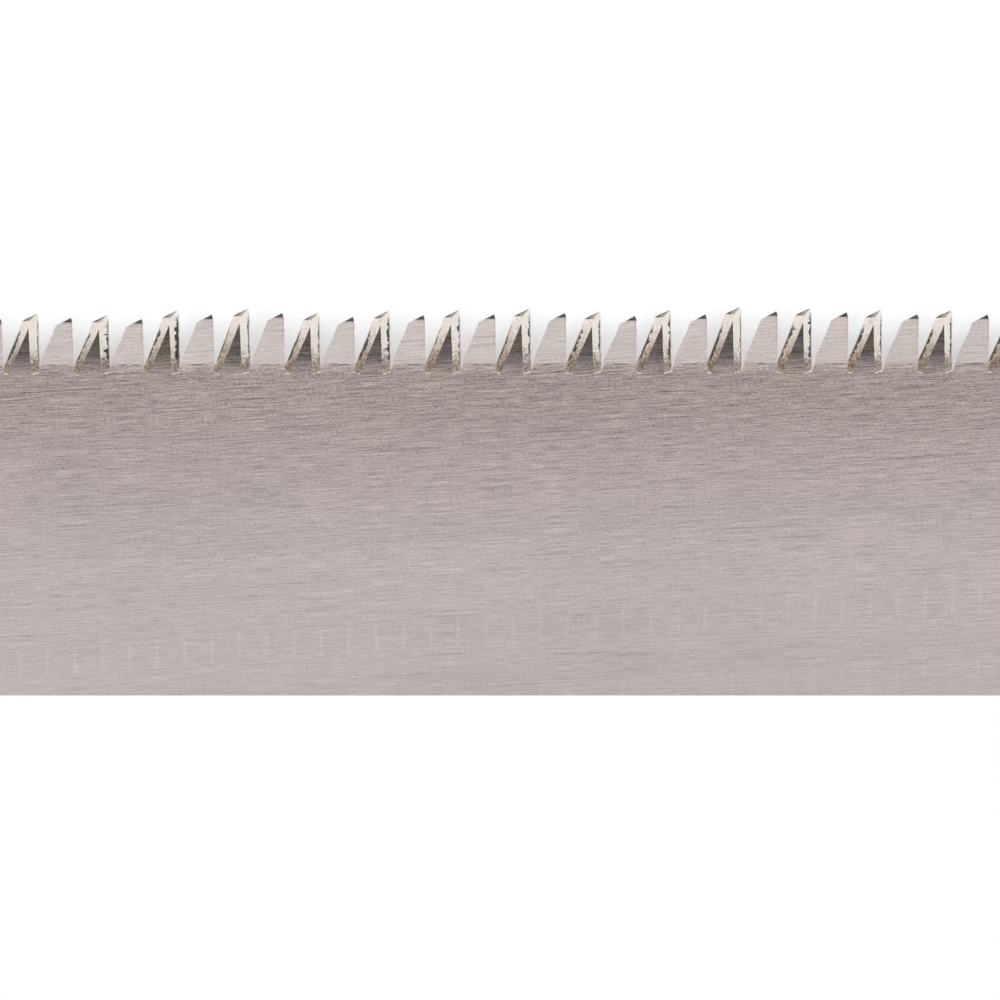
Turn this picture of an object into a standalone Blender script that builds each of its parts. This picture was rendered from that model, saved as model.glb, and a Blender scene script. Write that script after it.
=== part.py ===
"""Ryoba: a pull saw with crosscut teeth on one edge of its blade and rip teeth on the other.

The saw lies flat. +X runs from the toe of the blade to the butt of the handle, +Y to the
crosscut edge and +Z up, square to the blade. Every piece is modelled from the saw's own
datum, the middle of the blade at the heel of its tooth lines, and hangs on one empty that
carries the datum to its place in the frame. Lengths are in metres.
"""

import math

import bmesh
import bpy
from mathutils import Vector

MM = 0.001

# Gaps between pieces
SLIDE_GAP = 0.1 * MM
SEAT_GAP = 0.05 * MM
FIT_GAP = 0.3 * MM
# How far a cutter reaches past what it cuts
OVERSHOOT = 2.0 * MM

# Blade plate
BLADE_THICKNESS = 0.5 * MM
TOOTHED_LENGTH = 240.0 * MM
TOE_WIDTH = 96.0 * MM
HEEL_WIDTH = 64.0 * MM
TOE_BULGE = 4.0 * MM
TOE_CORNER = 5.0 * MM
NECK_WIDTH = 26.0 * MM
NECK_LENGTH = 50.0 * MM
NECK_STRAIGHT = 11.0 * MM
HEEL_LEAD = 1.0 * MM
TANG_LENGTH = 40.0 * MM
TANG_WIDTH = 19.0 * MM
TANG_END_WIDTH = 13.0 * MM
TANG_CORNER = 1.0 * MM

# Crosscut teeth: slots ground askew through the plate, then a third facet on each tip
CROSSCUT_PITCH = 1.5 * MM
CROSSCUT_DEPTH = 2.85 * MM
SLOT_FLOOR = 0.2 * MM
FRONT_ANGLE = math.radians(1.8)
BACK_ANGLE = math.radians(20.3)
FLEAM_ANGLE = math.radians(34.2)
TOP_SLOPE = math.radians(28.8)
TOP_TILT = math.radians(17.0)
DRESSED_HEIGHT = 0.24 * MM
DRESSED_ANGLE = math.radians(20.0)
BEND_HEIGHT = 0.45 * MM
TOOTH_SET = 0.15 * MM

# Rip teeth: ground square across, growing from heel to toe
RIP_PITCH_HEEL = 2.6 * MM
RIP_PITCH_TOE = 4.2 * MM
RIP_FLOOR = 0.35 * MM
RIP_FRONT_ANGLE = math.radians(12.0)
RIP_BACK_ANGLE = math.radians(50.0)

# Blade holder: two steel cheeks over a forked spacer
CHEEK_THICKNESS = 1.5 * MM
MOUTH_WIDTH = 32.0 * MM
TAIL_WIDTH = 18.0 * MM
HOLDER_CORNER = 4.0 * MM
MOUTH_STRAIGHT = 6.0 * MM
TAIL_CORNER = 2.0 * MM
TAIL_LENGTH = 66.0 * MM
RIVET_RADIUS = 1.2 * MM
RIVET_HEAD_RADIUS = 1.9 * MM
RIVET_HEAD_HEIGHT = 0.9 * MM
FRONT_RIVETS = 8.0 * MM
REAR_RIVETS = 34.0 * MM

# Clamp screw, M5 with a coin slot
SCREW_RADIUS = 2.5 * MM
SCREW_HEAD_RADIUS = 5.0 * MM
SCREW_HEAD_HEIGHT = 2.8 * MM
COIN_SLOT_WIDTH = 1.3 * MM
COIN_SLOT_DEPTH = 1.5 * MM
SCREW_PAST_NUT = 1.5 * MM
SCREW_FROM_MOUTH = 22.0 * MM
WASHER_RADIUS = 6.0 * MM
WASHER_THICKNESS = 1.0 * MM
NUT_ACROSS_FLATS = 8.0 * MM
NUT_THICKNESS = 3.2 * MM

# Handle: two wooden halves under a rattan winding, with a ferrule and an end cap
HANDLE_START = 94.0 * MM
HANDLE_LENGTH = 262.0 * MM
FRONT_WIDTH = 30.0 * MM
FRONT_HEIGHT = 22.0 * MM
BUTT_WIDTH = 34.0 * MM
BUTT_HEIGHT = 26.0 * MM
FERRULE_LENGTH = 16.0 * MM
FERRULE_WALL = 1.2 * MM
FERRULE_EDGE = 0.8 * MM
CAP_LENGTH = 18.0 * MM
CAP_FLOOR = 5.0 * MM
CAP_WALL = 2.2 * MM
CAP_EDGE = 2.0 * MM
PROUD = 0.6 * MM
RATTAN_THICKNESS = 1.2 * MM
RATTAN_WIDTH = 7.0 * MM
RATTAN_TAPER = 0.8 * MM
TURN_GAP = 0.2 * MM
PIN_RADIUS = 1.5 * MM
FRONT_PIN = 34.0 * MM
REAR_PIN = 56.0 * MM
CAP_SCREW_RADIUS = 1.75 * MM
CAP_SCREW_HEAD_RADIUS = 3.6 * MM
CAP_SCREW_HEAD_HEIGHT = 2.0 * MM
CAP_SCREW_LENGTH = 22.0 * MM
CAP_SCREW_POINT = 4.0 * MM
CAP_SCREW_SUNK = 0.4 * MM
NAIL_RADIUS = 0.8 * MM
NAIL_HEAD_RADIUS = 1.5 * MM
NAIL_HEAD_HEIGHT = 0.5 * MM
NAIL_LENGTH = 7.0 * MM
NAIL_POINT = 2.0 * MM
NAIL_FROM_FRONT = 9.0 * MM

# Facets of the round pieces
OVAL_SIDES = 18
ROUND_SIDES = 24
SMALL_SIDES = 12
SHARP_ANGLE = math.radians(35.0)

# Places that follow from the sizes
HALF_PLATE = BLADE_THICKNESS / 2
HALF_SLOT = HALF_PLATE + SLIDE_GAP
HOLDER_TOP = HALF_SLOT + CHEEK_THICKNESS
MOUTH_X = NECK_LENGTH
SCREW_X = MOUTH_X + SCREW_FROM_MOUTH
TANG_END_X = MOUTH_X + TANG_LENGTH
TAIL_END_X = HANDLE_START + TAIL_LENGTH
TOE_X = -TOOTHED_LENGTH - TOE_BULGE - TOE_CORNER
GRIP_START_X = HANDLE_START + FERRULE_LENGTH
BUTT_X = HANDLE_START + HANDLE_LENGTH
GRIP_END_X = BUTT_X - CAP_LENGTH
WOUND = FIT_GAP + RATTAN_THICKNESS + PROUD
CAP_HALF_WIDTH = BUTT_WIDTH / 2 + WOUND
CAP_HALF_HEIGHT = BUTT_HEIGHT / 2 + WOUND
SIDE_DROP = math.cos(math.pi / OVAL_SIDES)
ALONG_X = (0.0, math.pi / 2, 0.0)

for old in list(bpy.data.objects):
    bpy.data.objects.remove(old)

datum = bpy.data.objects.new("saw_datum", None)
bpy.context.scene.collection.objects.link(datum)
datum.location = (-(TOE_X + BUTT_X) / 2, 0.0, CAP_HALF_HEIGHT * SIDE_DROP)


def material(name, colour, roughness, metallic):
    made = bpy.data.materials.new(name)
    made.use_nodes = True
    shader = made.node_tree.nodes["Principled BSDF"]
    shader.inputs["Base Color"].default_value = (*colour, 1.0)
    shader.inputs["Roughness"].default_value = roughness
    shader.inputs["Metallic"].default_value = metallic
    return made


SAW_STEEL = material("saw_steel", (0.52, 0.48, 0.46), 0.35, 1.0)
HOLDER_STEEL = material("holder_steel", (0.56, 0.56, 0.55), 0.3, 1.0)
FASTENER_STEEL = material("fastener_steel", (0.6, 0.6, 0.6), 0.25, 1.0)
PIN_STEEL = material("pin_steel", (0.4, 0.4, 0.4), 0.4, 1.0)
WOOD = material("paulownia", (0.56, 0.4, 0.24), 0.6, 0.0)
RATTAN = material("rattan_peel", (0.6, 0.4, 0.19), 0.45, 0.0)
CAP_PLASTIC = material("cap_plastic", (0.03, 0.03, 0.03), 0.5, 0.0)


def piece(name, form, finish, place=(0.0, 0.0, 0.0), rounded=False):
    """A named object that hangs on the datum, closed and facing outwards."""
    bmesh.ops.recalc_face_normals(form, faces=form.faces[:])
    mesh = bpy.data.meshes.new(name)
    form.to_mesh(mesh)
    form.free()
    made = bpy.data.objects.new(name, mesh)
    bpy.context.scene.collection.objects.link(made)
    made.parent = datum
    made.location = place
    if rounded:
        mesh.shade_smooth()
        mesh.set_sharp_from_angle(angle=SHARP_ANGLE)
    if finish:
        mesh.materials.append(finish)
    return made


def cutter(name, form, place=(0.0, 0.0, 0.0)):
    made = piece(name, form, None, place)
    made.hide_render = True
    made.display_type = "WIRE"
    return made


def cut(target, *tools):
    for tool in tools:
        step = target.modifiers.new(tool.name, "BOOLEAN")
        step.operation = "DIFFERENCE"
        step.solver = "EXACT"
        step.object = tool


def plate(outline, bottom, top):
    """A flat plate: the outline, in X and Y, drawn up from one height to another."""
    form = bmesh.new()
    face = form.faces.new([form.verts.new((x, y, bottom)) for x, y in outline])
    drawn = bmesh.ops.extrude_face_region(form, geom=[face])
    lifted = [v for v in drawn["geom"] if isinstance(v, bmesh.types.BMVert)]
    bmesh.ops.translate(form, verts=lifted, vec=(0.0, 0.0, top - bottom))
    return form


def box(x0, x1, half_width, half_height):
    corners = [(x0, -half_width), (x1, -half_width), (x1, half_width), (x0, half_width)]
    return plate(corners, -half_height, half_height)


def arc(centre, radius, start, end, steps):
    points = []
    for i in range(steps + 1):
        angle = math.radians(start + (end - start) * i / steps)
        points.append((centre[0] + radius * math.cos(angle), centre[1] + radius * math.sin(angle)))
    return points


def loft(rings):
    """Skins a row of rings that have the same number of points, and closes both ends."""
    form = bmesh.new()
    rows = [[form.verts.new(point) for point in ring] for ring in rings]
    for low, high in zip(rows, rows[1:]):
        for i, corner in enumerate(low):
            before = i - 1
            form.faces.new((low[before], corner, high[i], high[before]))
    form.faces.new(rows[0])
    form.faces.new(rows[-1])
    return form


def turned(profile, sides):
    """Turns a profile of (radius, height) about the Z axis."""
    rings = []
    for radius, height in profile:
        ring = []
        for i in range(sides):
            angle = 2 * math.pi * (i + 0.5) / sides
            ring.append((radius * math.cos(angle), radius * math.sin(angle), height))
        rings.append(ring)
    return loft(rings)


def bore(radius, bottom, top, sides):
    """A cutter whose flats, not its corners, lie at the radius."""
    return turned([(radius / math.cos(math.pi / sides), z) for z in (bottom, top)], sides)


def oval(x, half_width, half_height):
    """A ring across the handle with a flat at the bottom."""
    points = []
    for i in range(OVAL_SIDES):
        angle = -math.pi / 2 + 2 * math.pi * (i + 0.5) / OVAL_SIDES
        points.append((x, half_width * math.cos(angle), half_height * math.sin(angle)))
    return points


def grip(x, more=0.0):
    """Half width and half height of the handle at x, grown by a margin."""
    share = (x - HANDLE_START) / HANDLE_LENGTH
    half_width = (FRONT_WIDTH + (BUTT_WIDTH - FRONT_WIDTH) * share) / 2
    half_height = (FRONT_HEIGHT + (BUTT_HEIGHT - FRONT_HEIGHT) * share) / 2
    return half_width + more, half_height + more


def tooth_line(sign):
    """Maps a place along a tooth line from the toe, out from it and up to the saw's datum."""
    toe = Vector((-TOOTHED_LENGTH, sign * TOE_WIDTH / 2, 0.0))
    heel = Vector((0.0, sign * HEEL_WIDTH / 2, 0.0))
    along = (heel - toe).normalized()
    out = Vector((-along.y, along.x, 0.0)) * sign

    def to_saw(u, v, w):
        return toe + along * u + out * v + Vector((0.0, 0.0, w))

    return to_saw, (heel - toe).length


def crosscut_tooth(form, to_saw, start, filed):
    """One crosscut tooth. Its bevels are on the face that filed (+1 or -1) points to, and it is
    set to the other side. Returns its back and front corners at the slot floor, top and bottom."""
    tan_back, tan_front = math.tan(BACK_ANGLE), math.tan(FRONT_ANGLE)
    fleam, slope, tilt = math.tan(FLEAM_ANGLE), math.tan(TOP_SLOPE), math.tan(TOP_TILT)
    dress = math.tan(DRESSED_ANGLE)
    solid = CROSSCUT_PITCH - SLOT_FLOOR

    def back(h, depth):
        return SLOT_FLOOR / 2 + h * tan_back + (depth - HALF_PLATE) * fleam

    def front(h, depth):
        return CROSSCUT_PITCH - SLOT_FLOOR / 2 - h * tan_front - (depth - HALF_PLATE) * fleam

    def point(u, h, depth):
        bend = max(0.0, (h - BEND_HEIGHT) / (CROSSCUT_DEPTH - BEND_HEIGHT))
        w = filed * (depth - HALF_PLATE - TOOTH_SET * bend)
        return form.verts.new(to_saw(start + u, h - CROSSCUT_DEPTH, w))

    # Depth runs from the wide, flat face into the plate, to the narrow, bevelled face
    tip_u = front(CROSSCUT_DEPTH, 0.0)
    dressed = CROSSCUT_DEPTH - DRESSED_HEIGHT
    shoulder_h = CROSSCUT_DEPTH + slope * (back(0.0, 0.0) - tip_u)
    shoulder_h /= 1.0 - slope * tan_back
    apex_h = (solid - BLADE_THICKNESS * fleam) / (tan_back + tan_front)
    tip_rise = DRESSED_HEIGHT * (1.0 + slope * tan_front)
    tip_rise /= 1.0 + slope * tan_front + dress * (slope * fleam + tilt)
    ridge_start = HALF_PLATE + solid / (2 * fleam)
    ridge_fall = (tan_back + tan_front) / (2 * fleam)
    ridge_h = CROSSCUT_DEPTH - tilt * ridge_start
    ridge_h += slope * (SLOT_FLOOR / 2 + (ridge_start - HALF_PLATE) * fleam - tip_u)
    ridge_h /= 1.0 - slope * (tan_back - ridge_fall * fleam) - tilt * ridge_fall
    ridge_depth = ridge_start - ridge_fall * ridge_h

    far = BLADE_THICKNESS
    root = {(side, d): point(edge(0.0, d), 0.0, d)
            for side, edge in (("back", back), ("front", front)) for d in (0.0, far)}
    bend = {(side, d): point(edge(BEND_HEIGHT, d), BEND_HEIGHT, d)
            for side, edge in (("back", back), ("front", front)) for d in (0.0, far)}
    shoulder = point(back(shoulder_h, 0.0), shoulder_h, 0.0)
    crest = point(tip_u - DRESSED_HEIGHT / slope, dressed, 0.0)
    corner = point(front(dressed, 0.0), dressed, 0.0)
    tip_depth = tip_rise * dress
    tip = point(front(dressed + tip_rise, tip_depth), dressed + tip_rise, tip_depth)
    ridge = point(back(ridge_h, ridge_depth), ridge_h, ridge_depth)
    apex = point(back(apex_h, far), apex_h, far)

    # Below the bend
    for d in (0.0, far):
        form.faces.new((root["back", d], root["front", d], bend["front", d], bend["back", d]))
    for side in ("back", "front"):
        form.faces.new((root[side, 0.0], root[side, far], bend[side, far], bend[side, 0.0]))
    # Flat face and its dressed tip, bevelled face, third facet, back bevel and front bevel
    form.faces.new((bend["back", 0.0], shoulder, crest, corner, bend["front", 0.0]))
    form.faces.new((crest, tip, corner))
    form.faces.new((bend["back", far], bend["front", far], apex))
    form.faces.new((shoulder, ridge, tip, crest))
    form.faces.new((bend["back", 0.0], bend["back", far], apex, ridge, shoulder))
    form.faces.new((bend["front", far], bend["front", 0.0], corner, tip, ridge, apex))
    top, under = (far, 0.0) if filed > 0 else (0.0, far)
    return [(root[side, top], root[side, under]) for side in ("back", "front")]


def rip_tooth(form, to_saw, start, pitch, lean):
    """One rip tooth, set to the face that lean points to. Returns its corners as above."""
    tan_back, tan_front = math.tan(RIP_BACK_ANGLE), math.tan(RIP_FRONT_ANGLE)
    height = (pitch - RIP_FLOOR) / (tan_back + tan_front)
    back_u = start + RIP_FLOOR / 2
    front_u = start + pitch - RIP_FLOOR / 2
    tip_u = back_u + height * tan_back
    sides = []
    for w in (HALF_PLATE, -HALF_PLATE):
        back = form.verts.new(to_saw(back_u, -height, w))
        front = form.verts.new(to_saw(front_u, -height, w))
        tip = form.verts.new(to_saw(tip_u, 0.0, w + lean * TOOTH_SET))
        form.faces.new((back, front, tip))
        sides.append((back, front, tip))
    upper, lower = sides
    form.faces.new((upper[0], lower[0], lower[2], upper[2]))
    form.faces.new((upper[1], lower[1], lower[2], upper[2]))
    return [(upper[0], lower[0]), (upper[1], lower[1])]


def zipped(form, left, right):
    """Fills between two rows of points that run the same way in X."""
    i = j = 0
    while i < len(left) - 1 or j < len(right) - 1:
        step_left = j == len(right) - 1
        if i < len(left) - 1 and j < len(right) - 1:
            step_left = left[i + 1].co.x <= right[j + 1].co.x
        if step_left:
            corners = (left[i], left[i + 1], right[j])
            i += 1
        else:
            corners = (left[i], right[j + 1], right[j])
            j += 1
        if len(set(corners)) == 3:
            form.faces.new(corners)


def tang_half(x):
    return (TANG_WIDTH + (TANG_END_WIDTH - TANG_WIDTH) * (x - MOUTH_X) / TANG_LENGTH) / 2


def blade_form():
    form = bmesh.new()

    def pair(x, y):
        return form.verts.new((x, y, HALF_PLATE)), form.verts.new((x, y, -HALF_PLATE))

    def toothed(sign):
        """Pairs of points along one tooth line, and the pairs that a tooth stands after."""
        to_saw, length = tooth_line(sign)
        rows, teeth = [], set()
        if sign > 0:
            count = int(length / CROSSCUT_PITCH)
            first_start = (length - count * CROSSCUT_PITCH) / 2
            for i in range(count):
                start = first_start + i * CROSSCUT_PITCH
                teeth.add(len(rows))
                rows += crosscut_tooth(form, to_saw, start, 1 if i % 2 else -1)
            return rows, teeth
        count = int(length * 2 / (RIP_PITCH_HEEL + RIP_PITCH_TOE))
        pitches = [RIP_PITCH_TOE + (RIP_PITCH_HEEL - RIP_PITCH_TOE) * i / (count - 1)
                   for i in range(count)]
        start = (length - sum(pitches)) / 2
        for i, pitch in enumerate(pitches):
            teeth.add(len(rows))
            rows += rip_tooth(form, to_saw, start, pitch, 1 if i % 2 else -1)
            start += pitch
        return rows, teeth

    def toe_half(sign, corner_y):
        """The bulged front edge from the middle out to a rounded corner."""
        points = []
        reach = abs(corner_y) - TOE_CORNER
        for i in range(1, 5):
            y = reach * i / 4
            points.append((TOE_X + TOE_BULGE * (y / reach) ** 2, sign * y))
        centre = (TOE_X + TOE_BULGE + TOE_CORNER, sign * reach)
        points += arc(centre, TOE_CORNER, 180.0, 180.0 - sign * 75.0, 5)[1:]
        return points

    def heel_half(sign, start_y):
        """The hollow from the last tooth down to the neck, then the neck to the holder's mouth."""
        drop = abs(start_y) - NECK_WIDTH / 2
        run = NECK_LENGTH - NECK_STRAIGHT - HEEL_LEAD
        points = []
        for i in range(13):
            share = i / 12
            fall = (1.0 - math.cos(math.pi * share)) / 2
            points.append((HEEL_LEAD + run * share, sign * (abs(start_y) - drop * fall)))
        return points + [(MOUTH_X - SLIDE_GAP - TANG_CORNER, sign * NECK_WIDTH / 2)]

    first = pair(TOE_X, 0.0)
    slot_radius = SCREW_RADIUS + FIT_GAP
    slot_centre = SCREW_X + FIT_GAP / 2
    slot_tip = pair(slot_centre - slot_radius, 0.0)
    edges = {}
    for sign in (1, -1):
        row, teeth = toothed(sign)
        chain = [first]
        chain += [pair(x, y) for x, y in toe_half(sign, row[0][0].co.y)]
        teeth = {len(chain) + i for i in teeth}
        chain += row
        chain += [pair(x, y) for x, y in heel_half(sign, row[-1][0].co.y)]
        chain.append(pair(MOUTH_X - SLIDE_GAP, sign * tang_half(MOUTH_X)))
        before_slot = slot_centre - slot_radius - SLIDE_GAP
        chain.append(pair(before_slot, sign * tang_half(before_slot)))
        body = len(chain)
        chain.append(pair(TANG_END_X - TANG_CORNER, sign * tang_half(TANG_END_X)))
        chain.append(pair(TANG_END_X, sign * (tang_half(TANG_END_X) - TANG_CORNER)))
        slot = [slot_tip]
        bend = arc((slot_centre, 0.0), slot_radius, 180.0, 180.0 - sign * 90.0, 6)
        slot += [pair(x, y) for x, y in bend[1:]]
        slot.append(pair(TANG_END_X, sign * slot_radius))
        edges[sign] = (chain, body)
        # Walls round the edge, left open where a tooth stands
        outline = chain + slot[::-1]
        for i, (here, there) in enumerate(zip(outline, outline[1:])):
            if i not in teeth:
                form.faces.new((here[0], there[0], there[1], here[1]))
        for side in (0, 1):
            zipped(form, [p[side] for p in chain[body - 1:]], [p[side] for p in slot])
    for side in (0, 1):
        rows = [[p[side] for p in chain[:body]] for chain, body in edges.values()]
        zipped(form, *rows)
        form.faces.new((rows[0][-1], slot_tip[side], rows[1][-1]))
    return form


def holder_outline():
    """Mouth with round corners, narrowing to a straight tail in the handle."""
    mouth, tail = MOUTH_WIDTH / 2, TAIL_WIDTH / 2
    tail_start = HANDLE_START - FIT_GAP
    upper = arc((MOUTH_X + HOLDER_CORNER, mouth - HOLDER_CORNER), HOLDER_CORNER, 180.0, 90.0, 4)
    for i in range(1, 7):
        share = i / 6
        ease = share * share * (3 - 2 * share)
        x = MOUTH_X + HOLDER_CORNER + MOUTH_STRAIGHT
        upper.append((x + (tail_start - x) * share, mouth + (tail - mouth) * ease))
    upper += [(TAIL_END_X - TAIL_CORNER, tail), (TAIL_END_X, tail - TAIL_CORNER)]
    return upper + [(x, -y) for x, y in reversed(upper)]


def cheek_half(x):
    """Half width of the holder at x, read off its outline."""
    upper = [point for point in holder_outline() if point[1] > 0]
    for (x0, y0), (x1, y1) in zip(upper, upper[1:]):
        if x0 <= x <= x1 and x1 > x0:
            return y0 + (y1 - y0) * (x - x0) / (x1 - x0)
    return TAIL_WIDTH / 2


# Blade
piece("blade", blade_form(), SAW_STEEL)

# Holes shared by the pieces that a fastener runs through
rivet_places = []
for from_mouth in (FRONT_RIVETS, REAR_RIVETS):
    x = MOUTH_X + from_mouth
    y = (cheek_half(x) + tang_half(x)) / 2
    rivet_places += [(x, y), (x, -y)]
rivet_holes = []
for i, (x, y) in enumerate(rivet_places):
    form = bore(RIVET_RADIUS + SLIDE_GAP, -2 * HOLDER_TOP, 2 * HOLDER_TOP, SMALL_SIDES)
    rivet_holes.append(cutter(f"rivet_hole_{i + 1}", form, (x, y, 0.0)))
pin_places = [HANDLE_START + FRONT_PIN, HANDLE_START + REAR_PIN]
pin_holes = []
for i, x in enumerate(pin_places):
    form = bore(PIN_RADIUS + FIT_GAP, -BUTT_HEIGHT, BUTT_HEIGHT, SMALL_SIDES)
    pin_holes.append(cutter(f"pin_hole_{i + 1}", form, (x, 0.0, 0.0)))
form = bore(SCREW_RADIUS + FIT_GAP, -2 * HOLDER_TOP, 2 * HOLDER_TOP, ROUND_SIDES)
screw_hole = cutter("screw_hole", form, (SCREW_X, 0.0, 0.0))

# Holder, riveted through on both sides of the tang
for name, low, high in (("top", HALF_SLOT, HOLDER_TOP), ("bottom", -HOLDER_TOP, -HALF_SLOT)):
    cheek = piece(f"holder_cheek_{name}", plate(holder_outline(), low, high), HOLDER_STEEL)
    cut(cheek, screw_hole, *rivet_holes, *pin_holes)
half_spacer = HALF_SLOT - SEAT_GAP
spacer = piece("holder_spacer", plate(holder_outline(), -half_spacer, half_spacer), HOLDER_STEEL)
pocket = []
for x in (MOUTH_X - OVERSHOOT, TANG_END_X + FIT_GAP):
    pocket.append((x, -tang_half(x) - FIT_GAP))
pocket += [(x, -y) for x, y in reversed(pocket)]
tang_pocket = cutter("tang_pocket", plate(pocket, -2 * HALF_SLOT, 2 * HALF_SLOT))
cut(spacer, tang_pocket, *rivet_holes, *pin_holes)

seat = HOLDER_TOP + SEAT_GAP
dome = [(0.55, 1.0), (0.9, 0.55), (1.0, 0.0)]
rivet_shape = [(RIVET_HEAD_RADIUS * r, seat + RIVET_HEAD_HEIGHT * z) for r, z in dome]
rivet_shape.append((RIVET_RADIUS, seat))
rivet_shape += [(r, -z) for r, z in reversed(rivet_shape)]
rivet_names = ("front_left", "front_right", "rear_left", "rear_right")
for name, (x, y) in zip(rivet_names, rivet_places):
    form = turned(rivet_shape, SMALL_SIDES)
    piece(f"holder_rivet_{name}", form, FASTENER_STEEL, (x, y, 0.0), rounded=True)

# Clamp screw with its washer and its nut, all about one axis
clamp_place = (SCREW_X, 0.0, 0.0)
washer_top = seat + WASHER_THICKNESS
form = turned([(WASHER_RADIUS, seat), (WASHER_RADIUS, washer_top)], ROUND_SIDES)
washer = piece("clamp_washer", form, FASTENER_STEEL, clamp_place, rounded=True)
cut(washer, screw_hole)

nut_bottom = -seat - NUT_THICKNESS
nut_corner = NUT_ACROSS_FLATS / 2 / math.cos(math.pi / 6)
form = turned([(nut_corner, nut_bottom), (nut_corner, -seat)], 6)
nut = piece("clamp_nut", form, FASTENER_STEEL, clamp_place)
form = bore(SCREW_RADIUS + SLIDE_GAP, 2 * nut_bottom, 0.0, ROUND_SIDES)
cut(nut, cutter("nut_thread", form, clamp_place))

head_bottom = washer_top + SEAT_GAP
head_top = head_bottom + SCREW_HEAD_HEIGHT
screw_end = nut_bottom - SCREW_PAST_NUT
screw_shape = [
    (SCREW_RADIUS * 0.75, screw_end),
    (SCREW_RADIUS, screw_end + SCREW_RADIUS * 0.3),
    (SCREW_RADIUS, head_bottom),
    (SCREW_HEAD_RADIUS, head_bottom),
    (SCREW_HEAD_RADIUS, head_bottom + SCREW_HEAD_HEIGHT * 0.55),
    (SCREW_HEAD_RADIUS * 0.86, head_bottom + SCREW_HEAD_HEIGHT * 0.85),
    (SCREW_HEAD_RADIUS * 0.55, head_top),
]
form = turned(screw_shape, ROUND_SIDES)
screw = piece("clamp_screw", form, FASTENER_STEEL, clamp_place, rounded=True)
half_coin, across = COIN_SLOT_WIDTH / 2, 2 * SCREW_HEAD_RADIUS
coin = [(-half_coin, -across), (half_coin, -across), (half_coin, across), (-half_coin, across)]
form = plate(coin, head_top - COIN_SLOT_DEPTH, head_top + COIN_SLOT_DEPTH)
cut(screw, cutter("coin_slot", form, clamp_place))

# Ferrule: an oval cup with a slot for the holder, held by a nail in each half of the handle
ferrule_end = GRIP_START_X - FIT_GAP
rings = []
for x, edge in ((HANDLE_START, FERRULE_EDGE), (HANDLE_START + FERRULE_EDGE, 0.0), (ferrule_end, 0.0)):
    rings.append(oval(x, *grip(x, WOUND - edge)))
ferrule = piece("ferrule", loft(rings), HOLDER_STEEL, rounded=True)
inside = (HANDLE_START + FERRULE_WALL, GRIP_START_X + OVERSHOOT)
form = loft([oval(x, *grip(x, WOUND - FERRULE_WALL)) for x in inside])
ferrule_bore = cutter("ferrule_bore", form)
tail_room = (TAIL_WIDTH / 2 + FIT_GAP, HOLDER_TOP + FIT_GAP)
form = box(HANDLE_START - OVERSHOOT, HANDLE_START + FERRULE_WALL + OVERSHOOT, *tail_room)
ferrule_slot = cutter("ferrule_slot", form)
nail_x = HANDLE_START + NAIL_FROM_FRONT
nail_seat = grip(nail_x, WOUND)[1] * SIDE_DROP
form = bore(NAIL_RADIUS + SLIDE_GAP, -nail_seat - NAIL_LENGTH, nail_seat + NAIL_LENGTH, SMALL_SIDES)
nail_hole = cutter("nail_hole", form, (nail_x, 0.0, 0.0))
cut(ferrule, ferrule_bore, ferrule_slot, nail_hole)
for name, sign in (("top", 1), ("bottom", -1)):
    under_head = nail_seat + FIT_GAP
    nail_shape = [
        (NAIL_RADIUS * 0.3, sign * (nail_seat - NAIL_LENGTH)),
        (NAIL_RADIUS, sign * (nail_seat - NAIL_LENGTH + NAIL_POINT)),
        (NAIL_RADIUS, sign * under_head),
        (NAIL_HEAD_RADIUS, sign * under_head),
        (NAIL_HEAD_RADIUS * 0.6, sign * (under_head + NAIL_HEAD_HEIGHT)),
    ]
    form = turned(nail_shape, SMALL_SIDES)
    piece(f"ferrule_nail_{name}", form, FASTENER_STEEL, (nail_x, 0.0, 0.0), rounded=True)

# Handle halves, stepped down at both ends for the ferrule and the cap
tail_pocket = cutter("tail_pocket", box(HANDLE_START - OVERSHOOT, TAIL_END_X + FIT_GAP, *tail_room))
head_seat = BUTT_X - CAP_SCREW_SUNK - CAP_SCREW_HEAD_HEIGHT
form = bore(CAP_SCREW_RADIUS + SLIDE_GAP, -CAP_SCREW_LENGTH - FIT_GAP, CAP_LENGTH, SMALL_SIDES)
pilot = cutter("cap_screw_pilot", form, (head_seat, 0.0, 0.0))
pilot.rotation_euler = ALONG_X
front_step = WOUND - FERRULE_WALL - FIT_GAP
butt_step = WOUND - CAP_WALL - FIT_GAP
core_start = HANDLE_START + FERRULE_WALL + FIT_GAP
core_end = BUTT_X - CAP_FLOOR - FIT_GAP
core_rings = [
    oval(core_start, *grip(core_start, front_step)),
    oval(GRIP_START_X, *grip(GRIP_START_X, front_step)),
    oval(GRIP_START_X, *grip(GRIP_START_X)),
    oval(GRIP_END_X, *grip(GRIP_END_X)),
    oval(GRIP_END_X, *grip(BUTT_X, butt_step)),
    oval(core_end, *grip(BUTT_X, butt_step)),
]
for name, sign in (("top", 1), ("bottom", -1)):
    form = loft(core_rings)
    whole = form.verts[:] + form.edges[:] + form.faces[:]
    joint_face = {"plane_co": (0.0, 0.0, sign * SEAT_GAP), "plane_no": (0.0, 0.0, sign)}
    split = bmesh.ops.bisect_plane(form, geom=whole, clear_inner=True, **joint_face)
    rim = [e for e in split["geom_cut"] if isinstance(e, bmesh.types.BMEdge)]
    bmesh.ops.edgeloop_fill(form, edges=rim)
    half = piece(f"handle_half_{name}", form, WOOD, rounded=True)
    cut(half, tail_pocket, nail_hole, pilot, *pin_holes)

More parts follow.
